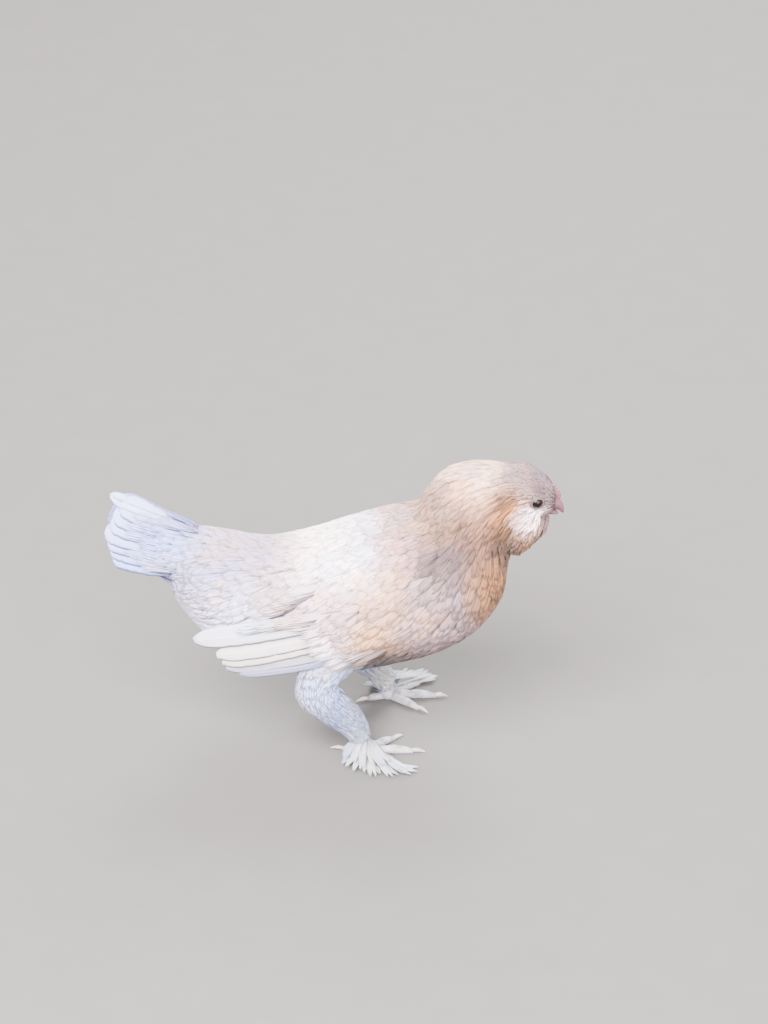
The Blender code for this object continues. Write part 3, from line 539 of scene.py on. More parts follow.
@dataclass(frozen=True)
class Markings:
    """The colours of the plumage, with painted shade on the belly, which skin and coat share.
    They are the same on both sides.

    Clouds of warmer and cooler tone lie over the patches, `cloud` and `fleck` to the centimetre.
    """

    cloud: float = 0.55
    fleck: float = 1.7
    warm: Colour = (0.14, -0.04, -0.3)
    shade: tuple[float, float] = (0.1, 0.5)
    apart: Vector = Vector((7.0, 3.0, 5.0))
    patches: tuple[Patch, ...] = (
        Patch("tail tip", (-14.0, 1.0, 14.2), 1.8, (204, 216, 252)),
        Patch("tail middle", (-11.8, 1.0, 13.4), 1.4, (140, 148, 224)),
        Patch("inside of the tail", (-11.2, 0.0, 12.4), 0.9, (206, 204, 226)),
        Patch("tail base", (-9.8, 1.5, 12.0), 1.6, (162, 158, 194)),
        Patch("rump", (-8.0, 2.5, 10.2), 2.0, (164, 154, 188)),
        Patch("low rump", (-7.2, 3.4, 9.2), 1.6, (246, 240, 252)),
        Patch("saddle", (-6.0, 2.5, 12.2), 2.2, (168, 147, 160)),
        Patch("side of the saddle", (-5.5, 4.2, 10.2), 1.8, (188, 170, 180)),
        Patch("back", (-1.0, 3.0, 12.6), 2.2, (255, 238, 242)),
        Patch("wing bow", (-1.0, 4.8, 10.6), 1.6, (206, 166, 166)),
        Patch("flights", (-6.0, 4.7, 7.7), 1.5, (255, 255, 255)),
        Patch("inner flights", (-7.4, 4.7, 8.9), 1.0, (142, 151, 228)),
        Patch("low flights", (-4.6, 4.8, 6.0), 1.1, (158, 164, 228)),
        Patch("covert tips", (-2.0, 5.0, 7.4), 1.2, (244, 232, 248)),
        Patch("shoulder", (2.2, 2.6, 13.4), 1.5, (176, 132, 128)),
        Patch("flank", (1.6, 5.0, 9.8), 1.7, (182, 136, 108)),
        Patch("side of the breast", (4.6, 4.4, 10.0), 1.7, (156, 128, 130)),
        Patch("upper breast", (7.6, 2.8, 10.6), 1.7, (132, 88, 56)),
        Patch("front", (9.0, 1.0, 11.0), 1.6, (122, 84, 62)),
        Patch("low breast", (6.0, 2.5, 7.4), 2.0, (136, 108, 108)),
        # The dark belly patch is partly the belly's own brown and partly painted shade under the
        # body.
        Patch("belly", (2.5, 2.5, 5.8), 2.2, (70, 58, 56)),
        Patch("vent", (-4.0, 2.5, 5.6), 2.0, (180, 172, 190)),
        Patch("cape", (4.6, 2.0, 15.0), 1.4, (142, 114, 102)),
        Patch("side of the neck", (5.4, 3.4, 12.8), 1.4, (78, 66, 70)),
        Patch("hackle", (7.0, 2.6, 14.2), 1.3, (132, 92, 74)),
        Patch("throat", (8.6, 2.0, 12.6), 1.1, (52, 42, 37)),
        Patch("nape", (7.2, 0.8, 16.8), 1.4, (220, 172, 146)),
        Patch("crown", (9.6, 0.8, 17.0), 1.2, (114, 94, 98)),
        Patch("ear", (8.6, 1.9, 15.8), 0.9, (138, 78, 18)),
        Patch("face", (10.9, 1.2, 16.2), 0.65, (106, 84, 86)),
        Patch("lores", (11.8, 0.6, 15.4), 0.55, (80, 50, 52)),
        Patch("muff", (10.3, 1.8, 14.8), 0.85, (234, 204, 204)),
        Patch("chin", (11.3, 0.6, 14.2), 0.5, (122, 94, 92)),
        Patch("low muff", (10.0, 1.5, 13.3), 0.75, (118, 84, 62)),
        Patch("behind the muff", (9.0, 1.9, 14.2), 0.65, (130, 88, 48)),
        Patch("thigh", (-1.5, 3.4, 5.0), 1.5, (188, 204, 246)),
        Patch("shank", (-0.4, 3.4, 2.8), 1.6, (118, 126, 160)),
        Patch("foot", (2.4, 4.2, 0.6), 1.8, (184, 190, 206)),
    )

    def colours(self, points: np.ndarray) -> np.ndarray:
        """Reads the plumage colour.

        Args:
            points: Rows of points in centimetres.

        Returns:
            Rows of linear red, green and blue.
        """
        where = np.array(points, float)
        where[:, 1] = np.abs(where[:, 1])
        middles = np.array([patch.middle for patch in self.patches])
        reach = np.array([patch.reach for patch in self.patches])
        linear = (np.array([patch.srgb for patch in self.patches]) / 255.0) ** 2.2
        apart = np.linalg.norm(where[:, None, :] - middles[None, :, :], axis=2)
        weight = np.exp(-((apart / reach) ** 2)) + 1e-6 / (1 + apart**4)
        weight /= weight.sum(axis=1, keepdims=True)
        spots = [Vector(point) for point in where]
        wide = np.array([noise.noise(spot * self.cloud) for spot in spots])
        fine = np.array([noise.noise(spot * self.fleck + self.apart) for spot in spots])
        deep = np.array([noise.noise(spot * self.cloud * 1.6 - self.apart) for spot in spots])
        warmth = (wide + 0.6 * fine)[:, None]
        depth = np.interp(where[:, 0], (-2.0, 6.0), self.shade)
        tone = 1.0 + (depth * (deep + 0.5 * fine))[:, None]
        return np.clip((weight @ linear) * (1.0 + warmth * np.array(self.warm)) * tone, 0.0, 1.0)


MARKINGS = Markings()


# Feathers

@dataclass(frozen=True)
class Vane:
    """One kind of feather: its outline as share of length and of width, and its faces.

    It has a row at each station of its outline, or as many even rows as `even` says. `cup` is how
    far its edges droop and `ragged` how far its barbs differ in length, as shares of the half
    width and of the length. `shaft` is the height of the shaft in metres and `shaft_width` its
    share of the half width. `notches` is the depth of the gaps in the edges and `gap_share` how
    many rows have one. The barbs fray from `fray_from` on.
    """

    outline: tuple[tuple[float, float], ...]
    across: int
    even: int = 0
    thickness: float = 0.25 * MM
    cup: float = 0.1
    ragged: float = 0.1
    shaft: float = 0.0
    notches: float = 0.0
    shaft_width: float = 0.14
    gap_share: float = 0.16
    fray_from: float = 0.55

    @property
    def shares(self) -> np.ndarray:
        """Where its rows lie along it."""
        if self.even:
            return np.linspace(0.0, 1.0, self.even + 1)
        return np.array([row[0] for row in self.outline], float)

    @property
    def widths(self) -> np.ndarray:
        """The share of its width at each row."""
        table = np.array(self.outline)
        return np.interp(self.shares, table[:, 0], table[:, 1])

    @property
    def upper_faces(self) -> int:
        """How many of its faces, the first ones, lie above."""
        return (len(self.shares) - 1) * self.across

    def faces(self) -> list[list[int]]:
        """The faces of one closed feather: a grid above, wide faces below, one at each end."""
        grid = np.arange(len(self.shares) * (self.across + 1)).reshape(len(self.shares), -1)
        rows = range(len(self.shares) - 1)
        top = [[grid[i, j], grid[i, j + 1], grid[i + 1, j + 1], grid[i + 1, j]]
               for i in rows for j in range(self.across)]
        base = [[grid[i, 0], grid[i + 1, 0], grid[i + 1, -1], grid[i, -1]] for i in rows]
        return top + base + [list(grid[0, ::-1]), list(grid[-1])]


BARB = Vane(
    ((0, 0.8), (0.45, 1.0), (0.8, 0.7), (1, 0.08)),
    2, thickness=0.14 * MM, cup=0.0, ragged=0.0,
)
FLIGHT = Vane(
    ((0, 0.3), (0.1, 0.6), (0.35, 0.9), (0.7, 1.0), (0.88, 0.95), (0.95, 0.75), (1, 0.3)),
    8, even=30, thickness=0.3 * MM, cup=0.08, ragged=0.012, shaft=0.3 * MM, notches=0.07,
)


@dataclass(frozen=True)
class Tuft:
    """How a small feather parts into barbs.

    `fan` is how far aside the outermost barb lies and `wide` a barb's half width, as shares of the
    feather's half width. `shorter` is how much shorter the outer barbs are and `vary` how far the
    lengths differ, as shares of the length. `round` turns the outer barbs away from the middle.
    """

    barbs: int
    fan: float = 0.8
    wide: float = 0.42
    shorter: float = 0.3
    vary: float = 0.14
    round: float = 0.3


BODY_TUFT = Tuft(10, fan=0.84, wide=0.2, shorter=0.26, vary=0.12, round=0.18)
HACKLE_TUFT = Tuft(6, fan=0.74, wide=0.3, shorter=0.22, round=0.2)
FACE_TUFT = Tuft(2, fan=0.5, wide=0.7, shorter=0.2, round=0.2)
DOWN_TUFT = Tuft(3, fan=0.85, wide=0.58, shorter=0.2, vary=0.25, round=0.2)
FLUFF_TUFT = Tuft(5, fan=0.9, wide=0.36, shorter=0.15, vary=0.3, round=0.25)
COVERT_TUFT = Tuft(9, fan=0.88, wide=0.22, shorter=0.3, vary=0.05, round=0.12)


@dataclass
class Plumes:
    """Feathers of one kind: their middle lines, ready to be made into one mesh.

    Arrays hold one row per feather and, inside it, one row per share of its length.
    """

    vane: Vane
    lines: np.ndarray
    normals: np.ndarray
    sides: np.ndarray
    half_widths: np.ndarray
    roots_uv: np.ndarray
    colours: np.ndarray
    seed: int = 0

    def parted(self, tuft: Tuft) -> "Plumes":
        """Parts each feather into its barbs.

        Args:
            tuft: How it parts.

        Returns:
            The barbs, feather after feather.
        """
        draw = np.random.default_rng(self.seed + 3)
        count, many = len(self.lines), tuft.barbs
        shares = self.vane.shares
        aside = np.linspace(-1.0, 1.0, many) + draw.uniform(-0.5, 0.5, (count, many)) / many
        reach = 1.0 - tuft.shorter * aside**2 - draw.random((count, many)) * tuft.vary
        at = np.clip(reach, 0.3, 1.0)[:, :, None] * shares
        row = np.clip(np.searchsorted(shares, at, side="right") - 1, 0, len(shares) - 2)
        part = ((at - shares[row]) / (shares[row + 1] - shares[row]))[..., None]
        feather = np.arange(count)[:, None, None]

        def along(table: np.ndarray) -> np.ndarray:
            """Reads a table of the feather's own rows at the barb's rows."""
            return table[feather, row] * (1 - part) + table[feather, row + 1] * part

        line, out, side = along(self.lines), unit(along(self.normals)), unit(along(self.sides))
        half = self.half_widths[:, None, None, None]
        turn = aside[:, :, None, None]
        line = line + side * turn * half * tuft.fan * (0.3 + 0.7 * at[..., None])
        line = line - out * (0.12 * half * turn**2 - draw.uniform(-0.07, 0.07, turn.shape) * MM)
        tilted = unit(out + side * turn * tuft.round)
        side = unit(side - tilted * np.sum(side * tilted, axis=-1, keepdims=True))
        wide = self.half_widths[:, None] * tuft.wide * draw.uniform(0.8, 1.2, (count, many))
        tint = self.colours[:, None, :] * draw.uniform(0.96, 1.04, (count, many, 1))
        rows = count * many
        return Plumes(
            self.vane, line.reshape(rows, -1, 3), tilted.reshape(rows, -1, 3),
            side.reshape(rows, -1, 3), wide.ravel(), np.repeat(self.roots_uv, many, axis=0),
            np.clip(tint, 0, 1).reshape(rows, 3), self.seed,
        )

    def corners(self, draw: np.random.Generator) -> np.ndarray:
        """Works out the corners of all feathers.

        Args:
            draw: The source of the small differences.

        Returns:
            One block of corners per feather.
        """
        vane = self.vane
        count = len(self.lines)
        across = np.linspace(-1.0, 1.0, vane.across + 1)
        t = vane.shares
        step = np.gradient(self.lines, axis=1)
        length = np.linalg.norm(np.diff(self.lines, axis=1), axis=2).sum(axis=1)
        half = self.half_widths[:, None] * vane.widths[None, :]
        gaps = draw.random((count, len(t), 2)) < vane.gap_share
        edge = 1.0 - vane.notches * gaps * draw.uniform(0.4, 1.0, gaps.shape)
        edge[:, :2, :] = 1.0
        sides = np.where(across < 0, edge[:, :, :1], edge[:, :, 1:])
        spread = half[:, :, None] * across * sides
        fray = draw.uniform(-1.0, 0.3, (count, 1, len(across)))
        fray *= np.where(np.abs(across) < 0.2, 0.3, 1.0)
        tip = smooth_step(vane.fray_from, 1.0, t)[None, :, None] * fray * vane.ragged
        run = unit(step)[:, :, None, :] * (tip * length[:, None, None])[..., None]
        droop = -vane.cup * half[:, :, None] * across**2
        ridge = vane.shaft * np.exp(-((across / vane.shaft_width) ** 2)) * (1 - 0.8 * t)[:, None]
        thick = vane.thickness * (1 - across**2) * (1 - 0.5 * t)[:, None]
        middle = self.lines[:, :, None, :] + self.sides[:, :, None, :] * spread[..., None] + run
        rise = self.normals[:, :, None, :] * (droop + ridge + thick)[..., None]
        return (middle + rise).reshape(count, -1, 3)

    def build(self, name: str) -> bpy.types.Object:
        """Makes the feathers one mesh with its colours and maps.

        Args:
            name: The piece's name.

        Returns:
            The piece.
        """
        draw = np.random.default_rng(self.seed + 7)
        vane = self.vane
        corners = self.corners(draw)
        count, block, _ = corners.shape
        one = vane.faces()
        sizes = np.tile([len(face) for face in one], count)
        starts = np.concatenate([[0], np.cumsum(sizes)[:-1]])
        flat = np.concatenate(one)
        faces = (flat[None, :] + (np.arange(count) * block)[:, None]).ravel()
        mesh = bpy.data.meshes.new(name)
        mesh.vertices.add(count * block)
        mesh.vertices.foreach_set("co", corners.astype(np.float32).ravel())
        mesh.loops.add(faces.size)
        mesh.loops.foreach_set("vertex_index", faces.astype(np.int32).ravel())
        mesh.polygons.add(len(sizes))
        mesh.polygons.foreach_set("loop_start", starts.astype(np.int32))
        upper = np.arange(len(one)) < vane.upper_faces
        mesh.polygons.foreach_set("use_smooth", np.tile(upper, count))
        mesh.update()
        grid_u = np.tile(np.linspace(0, 1, vane.across + 1), len(vane.shares))
        grid_v = np.repeat(vane.shares, vane.across + 1)
        own = np.stack([grid_u, grid_v], axis=1)
        by_vertex = np.tile(own, (count, 1))
        bake = self.roots_uv[:, None, :] + (own[None, :, :] - 0.5) * BAKE_PATCH
        for title, table in (("OFBake", bake.reshape(-1, 2)), ("Vane", by_vertex)):
            layer = mesh.uv_layers.new(name=title)
            layer.data.foreach_set("uv", table[faces].astype(np.float32).ravel())
        paint(mesh, np.repeat(self.colours, block, axis=0))
        fleck = mesh.attributes.new("Fleck", "FLOAT", "POINT")
        fleck.data.foreach_set("value", np.repeat(draw.random(count), block).astype(np.float32))
        obj = bpy.data.objects.new(name, mesh)
        bpy.context.scene.collection.objects.link(obj)
        return obj


# Shader writing

@dataclass
class Term:
    """A socket of a material that takes part in sums and products."""

    shader: "Shader"
    socket: bpy.types.NodeSocket

    def _with(self, operation: str, first: object, second: object) -> "Term":
        """Adds one Math node."""
        node = self.shader.node("Math", {"operation": operation}, {0: first, 1: second})
        return Term(self.shader, node.outputs[0])

    def __add__(self, other: object) -> "Term":
        """Sum."""
        return self._with("ADD", self, other)

    __radd__ = __add__

    def __mul__(self, other: object) -> "Term":
        """Product."""
        return self._with("MULTIPLY", self, other)

    __rmul__ = __mul__

    def __sub__(self, other: object) -> "Term":
        """Difference."""
        return self._with("SUBTRACT", self, other)

    def __rsub__(self, other: object) -> "Term":
        """Reflected difference."""
        return self._with("SUBTRACT", other, self)

    def sine(self) -> "Term":
        """Sine."""
        return self._with("SINE", self, 0.0)

    def size(self) -> "Term":
        """Absolute value."""
        return self._with("ABSOLUTE", self, 0.0)

    def step(self, low: float, high: float) -> "Term":
        """A soft step from 0 at low to 1 at high."""
        node = self.shader.node(
            "MapRange", {"interpolation_type": "SMOOTHSTEP"}, {0: self, 1: low, 2: high}
        )
        return Term(self.shader, node.outputs[0])


@dataclass
class Shader:
    """One material and the nodes that are added to it."""

    name: str
    material: bpy.types.Material = field(init=False)

    def __post_init__(self) -> None:
        """Starts the material with its Principled shader."""
        self.material = bpy.data.materials.new(self.name)
        self.material.use_nodes = True
        self.surface = self.material.node_tree.nodes["Principled BSDF"]

    def node(
        self, kind: str, settings: dict[str, object], inputs: dict[int | str, object]
    ) -> bpy.types.Node:
        """Adds a node.

        Args:
            kind: The node's type, without its prefix.
            settings: Its properties, which are set first.
            inputs: Values, sockets or terms for its inputs, by name or place.

        Returns:
            The node.
        """
        made = self.material.node_tree.nodes.new(f"ShaderNode{kind}")
        for key, value in settings.items():
            setattr(made, key, value)
        for key, value in inputs.items():
            self.feed(made.inputs[key], value)
        return made

    def feed(self, socket: bpy.types.NodeSocket, value: object) -> None:
        """Links or sets one input."""
        if isinstance(value, Term):
            value = value.socket
        if isinstance(value, bpy.types.NodeSocket):
            self.material.node_tree.links.new(value, socket)
        else:
            socket.default_value = value

    def term(self, kind: str, settings: dict, inputs: dict, output: int | str = 0) -> Term:
        """Adds a node and wraps one of its outputs."""
        return Term(self, self.node(kind, settings, inputs).outputs[output])

    def attribute(self, name: str, output: str = "Fac") -> Term:
        """Reads an attribute of the mesh."""
        return self.term("Attribute", {"attribute_name": name}, {}, output)

    def place(self) -> Term:
        """The point on the object."""
        return self.term("TexCoord", {}, {}, "Object")

    def blend(self, factor: object, first: object, second: object, way: str = "MIX") -> Term:
        """Mixes two colours."""
        node = self.node(
            "Mix", {"data_type": "RGBA", "blend_type": way}, {0: factor, 6: first, 7: second}
        )
        return Term(self, node.outputs[2])

    def shade(self, colour: object, tone: Term) -> Term:
        """Multiplies a colour by a tone."""
        grey = self.term("CombineColor", {}, {0: tone, 1: tone, 2: tone})
        return self.blend(1.0, colour, grey, "MULTIPLY")

    def noise(self, scale: float, detail: float = 3.0) -> Term:
        """Soft noise in space."""
        return self.term(
            "TexNoise", {}, {"Vector": self.place(), "Scale": scale, "Detail": detail}
        )

    def bump(self, height: Term, distance: float, strength: float = 1.0) -> None:
        """Feeds a height to the surface's normal."""
        node = self.node(
            "Bump", {}, {"Height": height, "Distance": distance, "Strength": strength}
        )
        self.feed(self.surface.inputs["Normal"], node.outputs["Normal"])

    def finish(self, colour: object, roughness: object, **fixed: float) -> bpy.types.Material:
        """Sets the surface.

        Args:
            colour: Its base colour.
            roughness: Its roughness.
            fixed: Other sockets by name, words joined by an underscore, as plain numbers.

        Returns:
            The material.
        """
        self.feed(self.surface.inputs["Base Color"], colour)
        self.feed(self.surface.inputs["Roughness"], roughness)
        for key, value in fixed.items():
            title = key.replace("_", " ").title().replace("Ior", "IOR")
            self.surface.inputs[title].default_value = value
        return self.material


def linear(red: int, green: int, blue: int) -> tuple[float, float, float, float]:
    """A colour given as sRGB, as linear red, green, blue and alpha."""
    return (*[(value / 255) ** 2.2 for value in (red, green, blue)], 1.0)


# Finishes

@dataclass(frozen=True)
class FeatherFinish:
    """Feathers: barbs that slant from the shaft, a pale shaft and soft edges.

    The shades are the shares by which the tone changes between barbs, from feather to feather,
    towards the root, over the body, and at the edges. `edge` paints the rims: below zero it is
    painted shade between overlapping feathers, above zero a painted highlight.
    """

    name: str
    barbs: float
    slant: float
    shaft: float
    relief: float
    # Rims: below zero, painted shade between overlapping feathers; above zero, a painted highlight.
    edge: float = 0.03
    barb_shade: float = 0.06
    fleck_shade: float = 0.08
    root_shade: float = 0.07
    body_shade: float = 0.1

    def make(self) -> bpy.types.Material:
        """Builds the material.

        Returns:
            The material.
        """
        shader = Shader(self.name)
        colour = shader.attribute("Plumage", "Color")
        fleck = shader.attribute("Fleck")
        own = shader.term("UVMap", {"uv_map": "Vane"}, {}, 0)
        parts = shader.node("SeparateXYZ", {}, {0: own})
        across = (Term(shader, parts.outputs[0]) - 0.5).size() * 2.0
        along = Term(shader, parts.outputs[1])
        uneven = shader.noise(700.0, 2.0)
        wave = ((along - across * self.slant) * self.barbs + uneven * 5.0 + fleck * 20.0).sine()
        barb = wave * 0.5 + 0.5
        shaft = 1.0 - across.step(0.03, 0.1)
        rim = across.step(0.55, 1.0)
        # rim * self.edge paints shade or a highlight along the edges of each vane.
        tone = 1.0 - barb * self.barb_shade + (fleck - 0.5) * self.fleck_shade + rim * self.edge
        tone = tone - (1.0 - along.step(0.2, 0.9)) * self.root_shade
        tone = tone + (shader.noise(90.0, 2.0) - 0.5) * self.body_shade
        tinted = shader.shade(colour, tone)
        pale = shader.blend(shaft * self.shaft, tinted, linear(250, 246, 240))
        shader.bump(barb * 0.7 + shaft * 0.6, 0.25 * MM, self.relief)
        return shader.finish(
            pale, 0.85, specular_ior_level=0.15, sheen_weight=0.1, sheen_roughness=0.6
        )


@dataclass(frozen=True)
class SkinFinish:
    """The skin under the plumage, with the plumage's own colours in shade."""

    name: str = "skin_finish"

    def make(self) -> bpy.types.Material:
        """Builds the material.

        Returns:
            The material.
        """
        shader = Shader(self.name)
        colour = shader.attribute("Plumage", "Color")
        grain = shader.noise(600.0)
        shader.bump(grain, 0.5 * MM, 0.6)
        return shader.finish(shader.shade(colour, 0.72 + grain * 0.2), 0.85)


@dataclass(frozen=True)
class EyeFinish:
    """A wet eye: black pupil, dark iris with a darker outer ring."""

    name: str
    middle: tuple[float, float, float]
    pupil: float
    iris: float

    def make(self) -> bpy.types.Material:
        """Builds the material.

        Returns:
            The material.
        """
        shader = Shader(self.name)
        apart = shader.node(
            "VectorMath", {"operation": "SUBTRACT"}, {0: shader.place(), 1: self.middle}
        )
        flat = shader.node(
            "VectorMath", {"operation": "MULTIPLY"}, {0: apart.outputs[0], 1: (1.0, 0.0, 1.0)}
        )
        reach = shader.node("VectorMath", {"operation": "LENGTH"}, {0: flat.outputs[0]})
        reach = Term(shader, reach.outputs["Value"])
        grain = shader.noise(2500.0)
        dark = shader.blend(
            reach.step(self.pupil * 0.92, self.pupil * 1.08), linear(4, 4, 5), linear(40, 24, 18)
        )
        warm = shader.blend(grain * 0.5, dark, linear(24, 15, 13))
        ringed = shader.blend(
            reach.step(self.iris * 0.9, self.iris * 1.05), warm, linear(14, 10, 10)
        )
        return shader.finish(
            ringed, 0.35, coat_weight=0.28, coat_roughness=0.04, specular_ior_level=0.12
        )


@dataclass(frozen=True)
class HornFinish:
    """Horn of the bill and the claws: fine lines along it and darker patches."""

    name: str
    pale: tuple[float, float, float, float]
    dark: tuple[float, float, float, float]
    roughness: float = 0.42
    lines: float = 900.0

    def make(self) -> bpy.types.Material:
        """Builds the material.

        Returns:
            The material.
        """
        shader = Shader(self.name)
        patches = shader.noise(160.0, 4.0).step(0.35, 0.7)
        fine = shader.noise(self.lines, 3.0)
        colour = shader.blend(patches, self.pale, self.dark)
        shader.bump(fine, 0.15 * MM, 0.35)
        return shader.finish(
            shader.shade(colour, 0.88 + fine * 0.22), self.roughness + fine * 0.16,
            specular_ior_level=0.45,
        )


@dataclass(frozen=True)
class FleshFinish:
    """Bare skin of the comb and the lids: fine warty grain."""

    name: str
    pale: tuple[float, float, float, float]
    dark: tuple[float, float, float, float]
    grain: float = 1500.0

    def make(self) -> bpy.types.Material:
        """Builds the material.

        Returns:
            The material.
        """
        shader = Shader(self.name)
        wide = shader.noise(260.0, 3.0).step(0.3, 0.7)
        cells = shader.term(
            "TexVoronoi", {}, {"Vector": shader.place(), "Scale": self.grain}, "Distance"
        )
        shader.bump(1.0 - cells, 0.3 * MM, 0.6)
        colour = shader.blend(wide, self.pale, self.dark)
        return shader.finish(
            shader.blend(cells * 0.4, colour, self.dark), 0.5 + cells * 0.2,
            specular_ior_level=0.45, subsurface_weight=0.15, subsurface_scale=0.002,
        )


@dataclass(frozen=True)
class FloorFinish:
    """A plain pale floor with a faint grain."""

    name: str = "floor_finish"

    def make(self) -> bpy.types.Material:
        """Builds the material.

        Returns:
            The material.
        """
        shader = Shader(self.name)
        grain = shader.noise(40.0, 4.0)
        colour = shader.blend(grain, linear(88, 86, 84), linear(94, 91, 89))
        return shader.finish(colour, 0.85)


# The skin and the coat

@dataclass
class Skin:
    """The skin of the whole body, which lies under the coat by its depth."""

    regions: list[Region]
    voxel: float = 1.7 * MM
    sides: int = 32
    finish: SkinFinish = SkinFinish()
    nape_inset: float = 0.1
    soften_rounds: int = 12
    nodes: tuple[str, ...] = (
        "torso", "neck", "head", "beard", "tail", "muff_right", "muff_left", "wing_right",
        "wing_left", "thigh_right", "thigh_left", "shank_right", "shank_left",
    )

    def build(self) -> bpy.types.Object:
        """Unites the inset forms to one smooth skin.

        Returns:
            The skin.
        """
        bm = bmesh.new()
        for region in self.regions:
            region.form.add_to(bm, self.sides, -region.inset)
        NAPE.add_to(bm, self.sides, -self.nape_inset)
        bmesh.ops.recalc_face_normals(bm, faces=bm.faces)
        skin = new_object("skin", bm)
        unite(skin, self.voxel, self.soften_rounds)
        mesh = skin.data
        paint(mesh, MARKINGS.colours(BODY.read(read_points(mesh))))
        mesh.materials.append(self.finish.make())
        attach(skin, "root")
        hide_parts(*self.nodes)
        return skin


